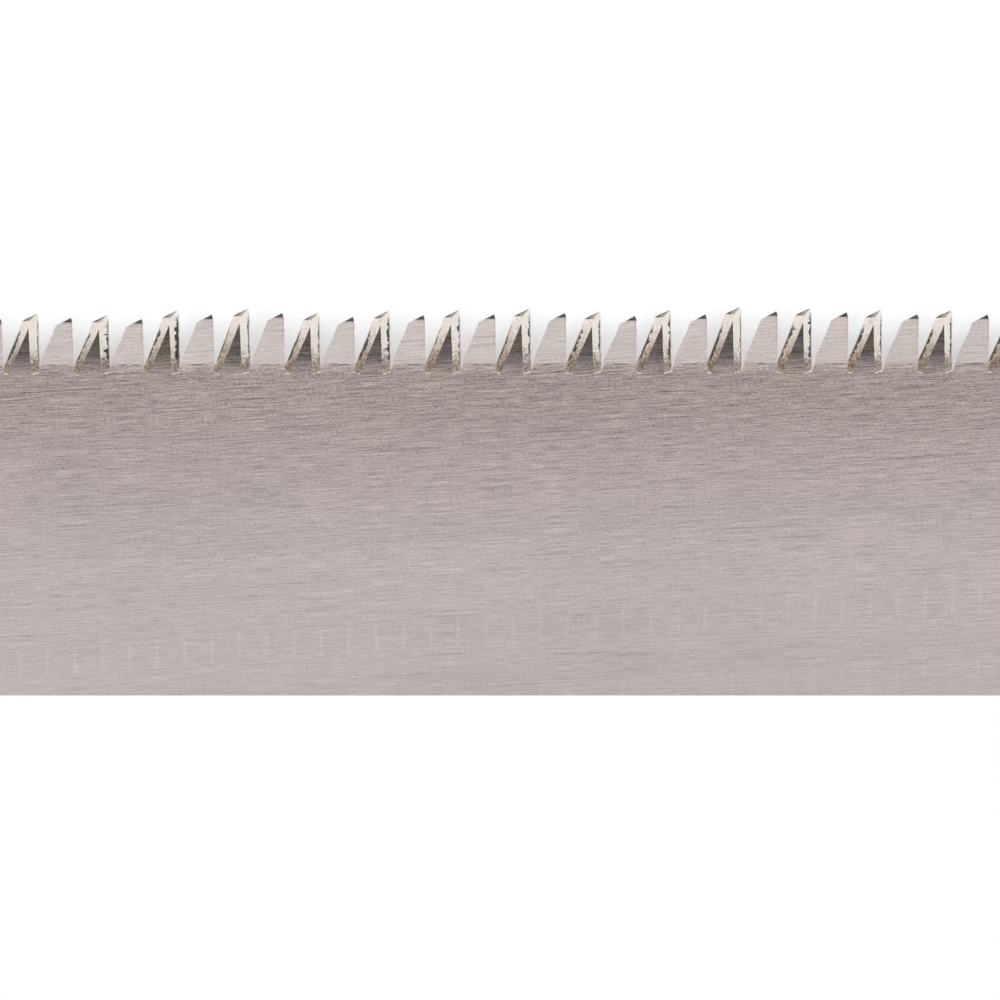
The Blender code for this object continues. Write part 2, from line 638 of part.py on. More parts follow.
for name, x in zip(("front", "rear"), pin_places):
    reach = grip(x)[1] * SIDE_DROP - FIT_GAP
    form = turned([(PIN_RADIUS, -reach), (PIN_RADIUS, reach)], SMALL_SIDES)
    piece(f"handle_pin_{name}", form, PIN_STEEL, (x, 0.0, 0.0), rounded=True)

# Rattan, one strip wound from the ferrule to the cap with both its ends cut to a taper
turn = RATTAN_WIDTH + TURN_GAP
wind_start = GRIP_START_X + SEAT_GAP
wind_end = GRIP_END_X - SEAT_GAP
rings = []
for i in range(int((wind_end - wind_start) / turn + 2) * OVAL_SIDES):
    lead = wind_start + turn * (i / OVAL_SIDES - 1)
    near = max(lead, wind_start)
    far = min(lead + RATTAN_WIDTH, wind_end)
    if far - near < RATTAN_TAPER:
        continue
    angle = -math.pi / 2 + 2 * math.pi * (i + 0.5) / OVAL_SIDES
    ring = []
    for x, lift in ((near, 0.0), (near, RATTAN_THICKNESS), (far, RATTAN_THICKNESS), (far, 0.0)):
        half_width, half_height = grip(x, FIT_GAP + lift)
        ring.append((x, half_width * math.cos(angle), half_height * math.sin(angle)))
    rings.append(ring)
piece("rattan_wrap", loft(rings), RATTAN, rounded=True)

# End cap, and the screw that draws it on to the handle
cap_front = GRIP_END_X + FIT_GAP
cap_profile = [(cap_front, 0.0), (BUTT_X - CAP_EDGE, 0.0)]
cap_profile += [(BUTT_X - CAP_EDGE * 0.3, CAP_EDGE * 0.3), (BUTT_X, CAP_EDGE)]
rings = [oval(x, CAP_HALF_WIDTH - edge, CAP_HALF_HEIGHT - edge) for x, edge in cap_profile]
cap = piece("end_cap", loft(rings), CAP_PLASTIC, rounded=True)
inside = (GRIP_END_X - OVERSHOOT, BUTT_X - CAP_FLOOR)
form = loft([oval(x, CAP_HALF_WIDTH - CAP_WALL, CAP_HALF_HEIGHT - CAP_WALL) for x in inside])
cap_bore = cutter("cap_bore", form)
form = bore(CAP_SCREW_HEAD_RADIUS + FIT_GAP, -SEAT_GAP, CAP_LENGTH, ROUND_SIDES)
counterbore = cutter("cap_counterbore", form, (head_seat, 0.0, 0.0))
counterbore.rotation_euler = ALONG_X
cut(cap, cap_bore, counterbore, pilot)
cap_screw_shape = [
    (CAP_SCREW_RADIUS * 0.3, -CAP_SCREW_LENGTH),
    (CAP_SCREW_RADIUS, CAP_SCREW_POINT - CAP_SCREW_LENGTH),
    (CAP_SCREW_RADIUS, 0.0),
    (CAP_SCREW_HEAD_RADIUS, 0.0),
    (CAP_SCREW_HEAD_RADIUS, CAP_SCREW_HEAD_HEIGHT * 0.6),
    (CAP_SCREW_HEAD_RADIUS * 0.75, CAP_SCREW_HEAD_HEIGHT),
]
form = turned(cap_screw_shape, SMALL_SIDES)
cap_screw = piece("end_cap_screw", form, FASTENER_STEEL, (head_seat, 0.0, 0.0), rounded=True)
cap_screw.rotation_euler = ALONG_X
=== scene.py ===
"""The looks of the ryoba saw: a finely cut crosscut edge, brushed steel, rattan and wood.

Everything is placed in the row frame: +X from toe to butt, +Y to the crosscut edge, +Z up.
Lengths are in metres.
"""

import random
from functools import reduce
from math import cos, pi, radians, sin, tan, tau

import bmesh
import bpy
import numpy as np
from mathutils import Matrix, Vector, noise


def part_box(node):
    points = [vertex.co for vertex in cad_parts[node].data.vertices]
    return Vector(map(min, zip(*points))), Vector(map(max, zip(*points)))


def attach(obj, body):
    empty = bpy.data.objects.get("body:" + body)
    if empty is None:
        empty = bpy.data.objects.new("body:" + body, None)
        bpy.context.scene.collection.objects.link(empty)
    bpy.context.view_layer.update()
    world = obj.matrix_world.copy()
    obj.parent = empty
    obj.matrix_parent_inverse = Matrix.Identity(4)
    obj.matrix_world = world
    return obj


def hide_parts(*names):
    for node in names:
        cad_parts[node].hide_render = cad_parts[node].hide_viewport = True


MM = 0.001

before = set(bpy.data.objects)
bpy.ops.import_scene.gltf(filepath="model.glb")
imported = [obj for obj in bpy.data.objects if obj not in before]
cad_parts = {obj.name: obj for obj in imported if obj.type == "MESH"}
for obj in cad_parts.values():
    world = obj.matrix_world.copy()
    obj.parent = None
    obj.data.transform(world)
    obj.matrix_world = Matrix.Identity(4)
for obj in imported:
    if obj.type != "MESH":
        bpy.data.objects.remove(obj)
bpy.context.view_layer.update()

# Blade, as the part's source has it
PLATE = 0.5 * MM
TOE_REACH = 9.0 * MM
TOOTHED_LENGTH = 240.0 * MM
TOE_TIP_Y = 48.0 * MM
HEEL_TIP_Y = 32.0 * MM

# Crosscut teeth, as the part's source has them
PITCH = 1.5 * MM
DEPTH = 2.85 * MM
SLOT_FLOOR = 0.2 * MM
TAN_FRONT = tan(radians(1.8))
TAN_BACK = tan(radians(20.3))
FLEAM = tan(radians(34.2))
TOP_SLOPE = tan(radians(28.8))
TOP_TILT = tan(radians(17.0))
DRESSED_HEIGHT = 0.24 * MM
DRESSED = tan(radians(20.0))
BEND_HEIGHT = 0.45 * MM
TOOTH_SET = 0.15 * MM

# What filing leaves on them
SLOT_ROUND = 0.06 * MM
BEVEL_SPREAD = 0.2
BEND_SOFT = 0.12 * MM
UNEVEN_TIPS = 0.3 * MM
UNEVEN_SEED = 849
FLAT_TEETH_LOWER = 0.085 * MM
FOOT_CUT = 0.085 * MM
FOOT_TOP = 0.75 * MM
FOOT_FADE = 0.35 * MM
FOOT_REACH = 0.5 * MM
WEAR_FROM = 0.2
WEAR_OVER = 0.5
FRONT_STANDS = 0.024
LOWEST_ROW = 0.22 * MM
PAST_TIP = 1.03 * DEPTH
RAGGED_OUTER = 0.026 * MM
RAGGED_INNER = 0.008 * MM
TEAR_SCALE = (2.2, 4.5, 3.0)
TEAR_SHIFT = 9.1

# Holder and clamp, from the heel of the tooth lines, as the part's source has them
SLOT_GAP = 0.1 * MM
SEAT_GAP = 0.05 * MM
FIT_GAP = 0.3 * MM
CHEEK = 1.5 * MM
CHEEK_EDGE = 0.22 * MM
TANG_WIDTH = 19.0 * MM
TANG_NARROWS = 6.0 * MM
TANG_LENGTH = 40.0 * MM
MOUTH_X = 50.0 * MM
MOUTH_HALF = 16.0 * MM
TAIL_HALF = 9.0 * MM
HOLDER_CORNER = 4.0 * MM
MOUTH_STRAIGHT = 6.0 * MM
TAIL_CORNER = 2.0 * MM
TAIL_END_X = 160.0 * MM
RIVETS_FROM_MOUTH = (8.0 * MM, 34.0 * MM)
RIVET_RADIUS = 1.2 * MM
RIVET_HEAD = (1.9 * MM, 0.9 * MM)
SCREW_X = 72.0 * MM
SCREW_RADIUS = 2.5 * MM
SCREW_HEAD = (5.0 * MM, 2.8 * MM)
SCREW_PAST_NUT = 1.5 * MM
SCREW_END = 0.7
SCREW_TOP = 0.4
THREAD_PITCH = 0.8 * MM
THREAD_DEPTH = 0.42 * MM
THREAD_START = 0.4
THREAD_FORM = (1.25, 0.1)
COIN_SLOT = (1.3 * MM, 1.5 * MM)
SCREW_RIM = 0.2 * MM
COIN_SLOT_EDGE = 0.08 * MM
WASHER = (6.0 * MM, 1.0 * MM)
WASHER_EDGE = 0.15 * MM
NUT_FLATS = 8.0 * MM
NUT_THICKNESS = 3.2 * MM
NUT_CHAMFER = 0.35 * MM
NUT_CHAMFER_REACH = (0.98, 1.02)
NUT_MOUTH = 0.45 * MM

# Handle, as the part's source has it
HANDLE_START = 94.0 * MM
HANDLE_LENGTH = 262.0 * MM
FRONT_HALF = (15.0 * MM, 11.0 * MM)
BUTT_HALF = (17.0 * MM, 13.0 * MM)
GRIP_START_X = 110.0 * MM
GRIP_END_X = 338.0 * MM
BUTT_X = 356.0 * MM
FERRULE_WALL = 1.2 * MM
FERRULE_EDGE = 0.8 * MM
FERRULE_RIM = 0.25 * MM
GROOVES_FROM = 4.6 * MM
GROOVES = (4.0 * MM, 2.6 * MM)
GROOVE_HALF = (0.45 * MM, 0.2 * MM)
GROOVE_DEPTH = 0.22 * MM
CAP_FLOOR = 5.0 * MM
CAP_WALL = 2.2 * MM
CAP_EDGE = 2.0 * MM
CAP_RIM = 0.3 * MM
CAP_STRAIGHT = 6.0 * MM
RATTAN_THICKNESS = 1.2 * MM
RATTAN_WIDTH = 7.0 * MM
RATTAN_THINNEST = 0.4 * MM
RATTAN_UNEVEN = 0.1
RATTAN_SECTION = ((0.0, 0.0), (0.0, 0.45), (0.06, 0.72), (0.2, 0.92), (0.38, 0.99), (0.5, 1.0))
TURN_GAP = 0.2 * MM
PROUD = 0.6 * MM
WOUND = FIT_GAP + RATTAN_THICKNESS + PROUD
SIDE_DROP = cos(radians(10.0))
OVAL_POWER = 2.15
PIN_RADIUS = 1.5 * MM
PINS_FROM_START = (34.0 * MM, 56.0 * MM)
POINT_BLUNT = 0.1
NAIL_X = HANDLE_START + 9.0 * MM
NAIL_RADIUS = 0.8 * MM
NAIL_HEAD = (1.5 * MM, 0.5 * MM)
NAIL_LENGTH = 7.0 * MM
NAIL_POINT = 2.0 * MM
NAIL_HOLE = 40.0 * MM
CAP_SCREW_RADIUS = 1.75 * MM
CAP_SCREW_HEAD = (3.6 * MM, 2.0 * MM)
CAP_SCREW_LENGTH = 22.0 * MM
CAP_SCREW_POINT = 4.0 * MM
CAP_SCREW_SEAT = BUTT_X - 2.4 * MM
CAP_SCREW_EDGE = 0.06 * MM
COUNTERSINK = 0.2 * MM
CROSS_RECESS = (2.1 * MM, 0.45 * MM)
CROSS_FLOOR = 1.0 * MM

# How finely the round pieces are cut
OVAL_SIDES = 80
OVAL_TURNS = [tau * k / OVAL_SIDES for k in range(OVAL_SIDES)]
TURNED_SIDES = 48
FINE_SIDES = 72
SMALL_SIDES = 32
NAIL_HOLE_SIDES = 24
CORNER_STEPS = 8
FERRULE_STEPS = 5
NECK_STEPS = 18
DOME_STEPS = 7
DOME_TOP = 0.05
THREAD_STEPS = 8

# What counts as touching, in the new teeth and in the CAD blade, and as a face of the plate
SAME_POINT = 1e-8
TINY = 1e-9
SAME_CAD_POINT = 1e-7
ON_CAD_LINE = 1e-6
FACES_UP = 0.9

# Edges that bend by more than this are drawn sharp, or eased
SHARP = radians(35.0)
SHARP_CHEEK = radians(20.0)
SHARP_NUT = radians(25.0)
EASED = radians(40.0)

# Camera: the tip of one bevelled tooth, and where the photograph has it
PICTURE = 1000
LENS = 160.0
SENSOR = 36.0
SEEN_TOOTH = 77
SEEN_TIP = (460.2, 305.8)
SEEN_PITCH = 35.15
CAMERA_TILT = radians(12.0)
CAMERA_ROLL = radians(0.1)
STRIP_BOTTOM = 695.5
CARD_DISTANCE = 1.5 * MM
CARD_HALF = 0.2
CARD_LOW = -0.25
FAR = 20.0

# Light and stage
WHITE = (1.0, 1.0, 1.0)
TENT = 1.0
OPENING = 0.58
OPENING_TILT = radians(18.0)
OPENING_FADE = (radians(38.0), radians(20.0))
FILL = 0.4
LAMP_ENERGY = 2.08
LAMP_ANGLE = radians(6.8)
LAMP_LEAN = (0.187, 0.024)
PAPER_GLOW = 0.345
PAPER_SHADED = (0.715, 0.725, 0.735)
PAPER_PLAIN = (0.85, 0.85, 0.85)
FLOOR_REACH = 6.0

# Places that follow
blade_low, blade_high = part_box("blade")
mid_z = (blade_low.z + blade_high.z) / 2
toe_tip = Vector((blade_low.x + TOE_REACH, TOE_TIP_Y, mid_z))
heel_tip = Vector((toe_tip.x + TOOTHED_LENGTH, HEEL_TIP_Y, mid_z))
along = (heel_tip - toe_tip).normalized()
out = Vector((-along.y, along.x, 0.0))
up = Vector((0.0, 0.0, 1.0))
edge_length = (heel_tip - toe_tip).length
tooth_count = int(edge_length / PITCH)
first_start = (edge_length - tooth_count * PITCH) / 2
floor_line = toe_tip - out * DEPTH
datum = Vector((heel_tip.x, 0.0, mid_z))
half_slot = PLATE / 2 + SLOT_GAP
holder_top = half_slot + CHEEK
drill_reach = 4 * holder_top
seat = holder_top + SEAT_GAP


def linear(*srgb):
    """A colour as it looks on a screen, 0 to 255, as the shader takes it."""
    return tuple(c / 255 / 12.92 if c <= 10 else ((c / 255 + 0.055) / 1.055) ** 2.4 for c in srgb)


# -------- materials, with lengths in millimetres

STREAKS_APART = 7.3
RATTAN_NODES_MM = 390.0
WOUND_RADIUS_MM = 14.0


class Nodes:
    """A node tree that grows one call at a time."""

    def __init__(self, owner):
        owner.use_nodes = True
        self.tree = owner.node_tree

    def add(self, kind, *values, **settings):
        """A new node, with its first inputs set or linked in their order."""
        node = self.tree.nodes.new(kind)
        for key, value in settings.items():
            setattr(node, key, value)
        for socket, value in zip(node.inputs, values):
            self.put(socket, value)
        return node

    def put(self, socket, value):
        if isinstance(value, bpy.types.NodeSocket):
            self.tree.links.new(value, socket)
        elif isinstance(value, tuple) and len(value) == 3 and socket.type == "RGBA":
            socket.default_value = (*value, 1.0)
        else:
            socket.default_value = value

    def fill(self, node, **values):
        """Sets or links inputs by name."""
        for name, value in values.items():
            self.put(node.inputs[name.replace("_", " ")], value)

    def math(self, operation, a, b=0.0):
        return self.add("ShaderNodeMath", a, b, operation=operation).outputs[0]

    def step(self, value, start, end, low=0.0, high=1.0):
        """Eases from low to high while the value goes from start to end."""
        limits = (value, start, end, low, high)
        return self.add("ShaderNodeMapRange", *limits, interpolation_type="SMOOTHSTEP").outputs[0]

    def directly_seen(self):
        """1 for camera rays, also by way of gloss or glass; 0 for rays that only carry light."""
        path = self.add("ShaderNodeLightPath").outputs
        seen = path["Is Camera Ray"]
        for kind in ("Is Glossy Ray", "Is Transmission Ray"):
            seen = self.math("MAXIMUM", seen, path[kind])
        return seen


class Finish(Nodes):
    """A material made one call at a time; each call gives back an output."""

    def __init__(self, name):
        self.material = bpy.data.materials.new(name)
        super().__init__(self.material)
        self.shader = self.tree.nodes["Principled BSDF"]
        self.place = self.add("ShaderNodeTexCoord").outputs["Object"]

    def times(self, *factors):
        return reduce(lambda a, b: self.math("MULTIPLY", a, b), factors)

    def plus(self, *terms):
        return reduce(lambda a, b: self.math("ADD", a, b), terms)

    def less(self, a, b):
        return self.math("SUBTRACT", a, b)

    def away(self, a, b):
        return self.math("ABSOLUTE", self.less(a, b))

    def along(self, direction, origin=(0.0, 0.0, 0.0)):
        """How far a place lies along a direction, in millimetres."""
        node = self.add("ShaderNodeVectorMath", self.place, direction, operation="DOT_PRODUCT")
        shift = -Vector(direction).dot(Vector(origin))
        return self.times(self.plus(node.outputs["Value"], shift), 1.0 / MM)

    def vector(self, x, y=0.0, z=0.0):
        return self.add("ShaderNodeCombineXYZ", x, y, z).outputs[0]

    def noise(self, place, scale=1.0, detail=3.0, roughness=0.55):
        """Noise about 0.5, at places given in millimetres."""
        node = self.add("ShaderNodeTexNoise")
        self.fill(node, Vector=place, Scale=scale, Detail=detail, Roughness=roughness)
        return node.outputs["Fac"]

    def streaks(self, run, across, length, width, detail=2.0):
        """Noise drawn out to streaks of a length and width in millimetres."""
        run, across = self.times(run, 1.0 / length), self.times(across, 1.0 / width)
        return self.noise(self.vector(run, across, STREAKS_APART * length), 1.0, detail, 0.6)

    def ground(self, run, across, lengths, width):
        """Fine grinding lines of several lengths, about zero."""
        lines = (self.streaks(run, across, length, width, 0.0) for length in lengths)
        return self.plus(*(self.less(line, 0.5) for line in lines))

    def in_mm(self):
        node = self.add("ShaderNodeVectorMath", self.place, operation="SCALE")
        self.fill(node, Scale=1.0 / MM)
        return node.outputs[0]

    def attribute(self, name):
        return self.add("ShaderNodeAttribute", attribute_name=name).outputs["Fac"]

    def mix(self, share, a, b, blend="MIX"):
        node = self.add("ShaderNodeMix", data_type="RGBA", blend_type=blend)
        self.fill(node, Factor=share)
        for socket, colour in zip((s for s in node.inputs if s.type == "RGBA"), (a, b)):
            self.put(socket, colour)
        return next(s for s in node.outputs if s.type == "RGBA")

    def scale(self, colour, factor):
        """A colour made lighter or darker by a factor."""
        grey = self.add("ShaderNodeCombineColor", factor, factor, factor)
        return self.mix(1.0, colour, grey.outputs[0], "MULTIPLY")

    def bump(self, height, strength, distance):
        node = self.add("ShaderNodeBump")
        self.fill(node, Height=height, Strength=strength, Distance=distance)
        return node.outputs["Normal"]

    def done(self, colour, roughness, metallic, normal, **coat):
        self.fill(self.shader, Base_Color=colour, Roughness=roughness, Metallic=metallic)
        self.fill(self.shader, Normal=normal, **coat)
        return self.material


# Plate colour by the teeth and further in: the darker colour by the teeth is painted shade
PLATE_SHADED_BY_TEETH = linear(180, 167, 163)
PLATE_INSIDE = linear(203, 192, 190)
PLATE_FADE = (-1.5, 9.5)
GRIND_LENGTHS = (2.6, 0.7, 0.13)
GRIND_WIDTH = 0.05
GRIND_DEPTH = 0.24
SCRATCH_SIZE = (7.0, 0.14)
BAND_SIZE = (90.0, 1.6)
STREAK_GAIN = 6.9
STREAK_DEEP = 0.03
STREAK_BY_TEETH = 0.102
STREAK_FADE = 0.834
TICK_ROW = -20.4
TICK_ROWS_APART = 3.3
TICK_ROWS_END = -26.0
TICK_SPACING = 1.1843
TICK_PHASE = 0.545
TICK_CLIMB = 0.0157
TICK_CENTRE = 119.0
TICK_TALL = (0.7, 0.5)
TICK_WIDE = (0.1, 0.03)
TICK_LIGHT = (0.05, 0.07)

# The plate is ground askew to the tooth line
GRIND_SKEW = radians(3.05)
grind_run = along * cos(GRIND_SKEW) + out * sin(GRIND_SKEW)
grind_across = out * cos(GRIND_SKEW) - along * sin(GRIND_SKEW)


def brushed(name, tone=None, tint=None, contrast=1.0):
    """Ground saw plate, streaked more by the teeth and painted darker there as painted shade, with
    faint rows of ticks further in.
    """
    f = Finish(name)
    from_rip = f.along((-out.x, out.y, 0.0), (floor_line.x, -floor_line.y, floor_line.z))
    inside = f.math("MINIMUM", f.along(-out, floor_line), from_rip)
    inside = f.math("MAXIMUM", inside, 0.0)
    u, v = f.along(grind_run, toe_tip), f.along(grind_across, toe_tip)
    lines = f.ground(u, v, GRIND_LENGTHS, GRIND_WIDTH)
    deep = f.plus(STREAK_DEEP, f.times(f.math("POWER", STREAK_FADE, inside), STREAK_BY_TEETH))
    strength = contrast(f) if callable(contrast) else contrast
    level = f.plus(1.0, f.times(lines, deep, STREAK_GAIN, strength))
    scratch = f.step(f.streaks(u, v, *SCRATCH_SIZE), 0.3, 0.36, 1.0, 0.0)
    level = f.less(level, f.times(scratch, f.plus(0.05, f.times(deep, 1.6))))
    bands = f.streaks(u, v, *BAND_SIZE)
    cloud = f.noise(f.vector(f.times(u, 0.05), f.times(v, 0.12)), 1.0, 2.0)
    level = f.times(level, *(f.step(drift, 0.3, 0.7, 0.975, 1.025) for drift in (bands, cloud)))
    half = TICK_ROWS_APART / 2
    rows = f.less(v, f.times(f.less(u, TICK_CENTRE), TICK_CLIMB))
    row = f.away(f.math("FLOORED_MODULO", f.less(rows, TICK_ROW + half), TICK_ROWS_APART), half)
    place = f.times(f.along(along, toe_tip), 1.0 / TICK_SPACING)
    pulse = f.away(f.math("FRACT", f.plus(place, TICK_PHASE)), 0.5)
    tick = f.times(f.step(row, *TICK_TALL), f.step(pulse, *TICK_WIDE))
    tick = f.times(tick, f.step(rows, TICK_ROW + 1.0, TICK_ROW + 0.8))
    tick = f.times(tick, f.step(rows, TICK_ROWS_END, TICK_ROW - 1.0))
    level = f.plus(level, f.times(tick, f.step(cloud, 0.3, 0.6, *TICK_LIGHT)))
    # Painted shade: darker by the teeth, fading lighter further in
    colour = f.mix(f.step(inside, *PLATE_FADE), PLATE_SHADED_BY_TEETH, PLATE_INSIDE)
    if tint:
        colour = tint(f, colour)
    lines = f.times(lines, GRIND_DEPTH)
    if tone:
        level = f.times(level, tone(f, lines))
    rough = f.plus(0.36, f.times(lines, 0.12))
    return f.done(f.scale(colour, level), rough, 1.0, f.bump(lines, 0.1, 0.01 * MM))


def flat_contrast(f):
    """The flat face is smoother than the plate above its bend."""
    return f.step(f.attribute("rise"), 0.1, 0.19, 1.0, 0.36)


def flat_tone(f, _lines):
    """The flat face of a tooth, painted a little lighter above the slot floor and more above its
    bend as painted light, with an uneven dark line of painted shade in the bend and a painted
    highlight just above it.
    """
    sway = f.noise(f.vector(f.along(along), 0.0), 1.6, 3.0)
    rise = f.plus(f.attribute("rise"), f.times(f.less(sway, 0.5), 0.07))
    # Painted light: lighter just above the slot floor and more above the bend
    shade = f.plus(f.step(rise, 0.0, 0.09, 1.0, 1.18), f.step(rise, 0.12, 0.2, 0.0, 0.28))
    broken = f.step(f.noise(f.vector(f.along(along), 4.0), 2.3, 2.0), 0.38, 0.56)
    lead = f.attribute("lead")
    broken = f.times(broken, f.step(lead, 0.1, 0.3), f.step(lead, 1.15, 0.9))
    # Painted shade in the crease of the bend, with a painted highlight just above it
    dark = f.times(f.step(f.away(rise, 0.15), 0.018, 0.0), broken)
    bright = f.times(f.step(f.away(rise, 0.178), 0.02, 0.0), f.plus(0.3, broken))
    return f.plus(shade, f.times(dark, -0.72), f.times(bright, 0.15))


def flat_tint(f, colour):
    """The flat face is greyer above its bend, with a warm line down its cutting edge."""
    rise, lead = f.attribute("rise"), f.attribute("lead")
    strip = f.times(f.step(lead, 0.1, 0.03), f.step(rise, 0.3, 0.62))
    colour = f.mix(f.step(rise, 0.12, 0.2), colour, linear(180, 171, 168))
    return f.mix(f.times(strip, 0.55), colour, linear(176, 148, 136))


def inner_tone(f, lines):
    """The bevelled tooth's own face between its bevels, with painted shade: darker up from the
    slot, darker still above the bend, and a little more towards the tip.
    """
    rise = f.plus(f.attribute("rise"), f.times(lines, 0.25))
    # Painted shade, darkening upwards from the slot floor
    by_slot = f.step(rise, 0.0, 0.22, 0.92, 0.62)
    by_bend = f.step(rise, 0.2, 0.34, 0.0, -0.24)
    by_tip = f.step(rise, 0.42, 0.6, 0.0, -0.08)
    return f.plus(by_slot, by_bend, by_tip)


def bevel(name, high, low, blend, rim_top):
    """A ground bevel: bright towards the tip, tan and darker brown at the slot, with a torn dark
    rim darkened by painted shadow, and painted highlights beside it and at its foot.
    """
    f = Finish(name)
    rise, depth = f.attribute("rise"), f.attribute("depth")
    place = f.in_mm()
    blotch = f.noise(place, 4.5, 3.0)
    grain = f.noise(place, 13.0, 3.0, 0.65)
    height = f.plus(rise, f.times(f.less(blotch, 0.5), 0.5))
    colour = f.mix(f.step(height, *blend), low, high)
    shade = f.plus(0.48, f.times(grain, 1.14))
    colour = f.scale(colour, f.times(shade, f.step(blotch, 0.28, 0.4, 0.8, 1.0)))
    fleck = f.step(f.noise(place, 7.5, 2.0), 0.34, 0.64, -0.44, 0.42)
    colour = f.scale(colour, f.plus(1.0, f.times(fleck, f.step(rise, 0.55, 0.2))))
    # A torn dark line just inside the outer edge, in places far in: a burr darkened with painted
    # shadow, with a painted highlight beside it and along the outer edge
    edgewise = f.vector(f.times(f.along(along), 0.6), f.along(out))
    tear, deep = f.noise(edgewise, 3.4, 4.0, 0.7), f.noise(edgewise, 2.1, 3.0, 0.7)
    within = f.times(f.step(rise, rim_top + 0.1, rim_top - 0.1), f.step(rise, 0.1, 0.25))
    width = f.plus(f.step(tear, 0.34, 0.6, 0.0, 0.22), f.step(deep, 0.56, 0.7, 0.0, 0.36))
    ample = f.noise(f.vector(f.times(f.along(along), 0.37), 7.0), 1.0, 1.0)
    width = f.times(width, f.step(ample, 0.36, 0.64, 0.35, 1.9))
    edge = f.less(f.plus(0.13, f.times(width, within)), depth)
    rim = f.times(f.step(edge, -0.02, 0.03), f.step(depth, 0.07, 0.14), within)
    # Painted highlight: a bright thin line beside the dark rim
    rim_highlight = f.times(f.step(edge, -0.16, -0.03), f.less(1.0, rim), f.step(tear, 0.5, 0.6))
    colour = f.mix(f.times(rim_highlight, 0.6), colour, linear(252, 248, 242))
    # Painted highlight: paler along the very outer edge
    colour = f.mix(f.times(f.step(depth, 0.14, 0.05), within, 0.85), colour, linear(214, 209, 204))
    colour = f.mix(rim, colour, f.scale(linear(74, 68, 62), f.plus(0.3, f.times(grain, 1.2))))
    # Its foot is darker brown, then paler, and ends in a bright line, a painted highlight where the
    # rounded foot faces up
    brown_foot = f.times(f.step(rise, 0.22, 0.14), f.step(rise, 0.06, 0.12), f.step(blotch, 0.38, 0.58))
    colour = f.mix(f.times(brown_foot, 0.22), colour, linear(96, 78, 58))
    colour = f.mix(f.step(rise, 0.1, 0.03, 0.0, 0.32), colour, linear(214, 200, 190))
    # Painted highlight on the rounded foot
    foot_highlight = f.times(f.step(rise, 0.024, 0.012), f.step(blotch, 0.36, 0.5))
    colour = f.mix(foot_highlight, colour, linear(246, 240, 234))
    return f.done(colour, f.plus(0.3, f.times(grain, 0.2)), 0.45, f.bump(grain, 0.3, 0.02 * MM))


def facet(name, colour, dark, scale=9.0, end=None):
    """A small ground facet, mottled; its end away from the tip may be darker."""
    f = Finish(name)
    mottle = f.noise(f.in_mm(), scale, 3.0)
    tone = f.mix(f.step(mottle, 0.35, 0.62), dark, colour)
    if end:
        tone = f.mix(f.step(f.attribute("lead"), 0.26, 0.42), tone, end)
    return f.done(tone, 0.34, 1.0, f.bump(mottle, 0.2, 0.02 * MM))


def steel(name, colour, roughness, spacing):
    """Plated steel with fine lines, as long along X, Y and Z as the spacing says in millimetres."""
    f = Finish(name)
    sizes = zip(Matrix.Identity(3), spacing)
    lines = f.noise(f.vector(*(f.times(f.along(axis), 1.0 / size) for axis, size in sizes)))
    wear = f.noise(f.in_mm(), 0.22, 3.0)
    level = f.plus(0.8, f.times(lines, 0.28), f.times(wear, 0.12))
    rough = f.plus(roughness - 0.08, f.times(wear, 0.16))
    return f.done(f.scale(colour, level), rough, 1.0, f.bump(lines, 0.12, 0.05 * MM))


def rattan():
    """Split cane: straw to honey, fibres along the strip, darker towards its edges and at nodes."""
    f = Finish("rattan_peel")
    run, across = f.attribute("run"), f.attribute("across")
    fibre = f.noise(f.vector(f.times(run, 0.06), f.times(across, 34.0)), 1.0, 3.0, 0.6)
    patch = f.noise(f.vector(f.times(run, 0.012), f.times(across, 0.8)))
    colour = f.mix(f.step(patch, 0.32, 0.68), linear(176, 126, 66), linear(218, 174, 108))
    colour = f.mix(f.step(fibre, 0.35, 0.7, 0.0, 0.55), colour, linear(232, 196, 136))
    colour = f.mix(f.step(f.away(across, 0.5), 0.36, 0.5, 0.0, 0.65), colour, linear(112, 72, 34))
    knot = f.away(f.math("FRACT", f.times(run, 1.0 / RATTAN_NODES_MM)), 0.5)
    colour = f.mix(f.step(knot, 0.0, 0.006, 0.6, 0.0), colour, linear(120, 84, 46))
    rough = f.plus(0.3, f.times(fibre, 0.16))
    lacquer = {"Coat_Weight": 0.35, "Coat_Roughness": 0.2}
    return f.done(colour, rough, 0.0, f.bump(fibre, 0.25, 0.12 * MM), **lacquer)


def wood():
    """Paulownia: pale, with straight open grain along the handle."""
    f = Finish("paulownia")
    x, y, z = (f.along(axis) for axis in Matrix.Identity(3))
    sway = f.times(f.less(f.noise(f.vector(f.times(x, 0.03)), 1.0, 2.0), 0.5), 5.0)
    grain = f.noise(f.vector(f.times(x, 0.04), f.plus(y, sway), f.times(z, 0.7)), 1.4, 4.0, 0.65)
    pore = f.noise(f.vector(f.times(x, 0.5), f.times(y, 6.0), f.times(z, 6.0)), 1.0, 2.0)
    colour = f.mix(f.step(grain, 0.35, 0.65), linear(168, 130, 88), linear(206, 170, 124))
    colour = f.scale(colour, f.step(pore, 0.3, 0.45, 0.82, 1.0))
    return f.done(colour, 0.6, 0.0, f.bump(f.plus(grain, f.times(pore, 0.4)), 0.3, 0.2 * MM))


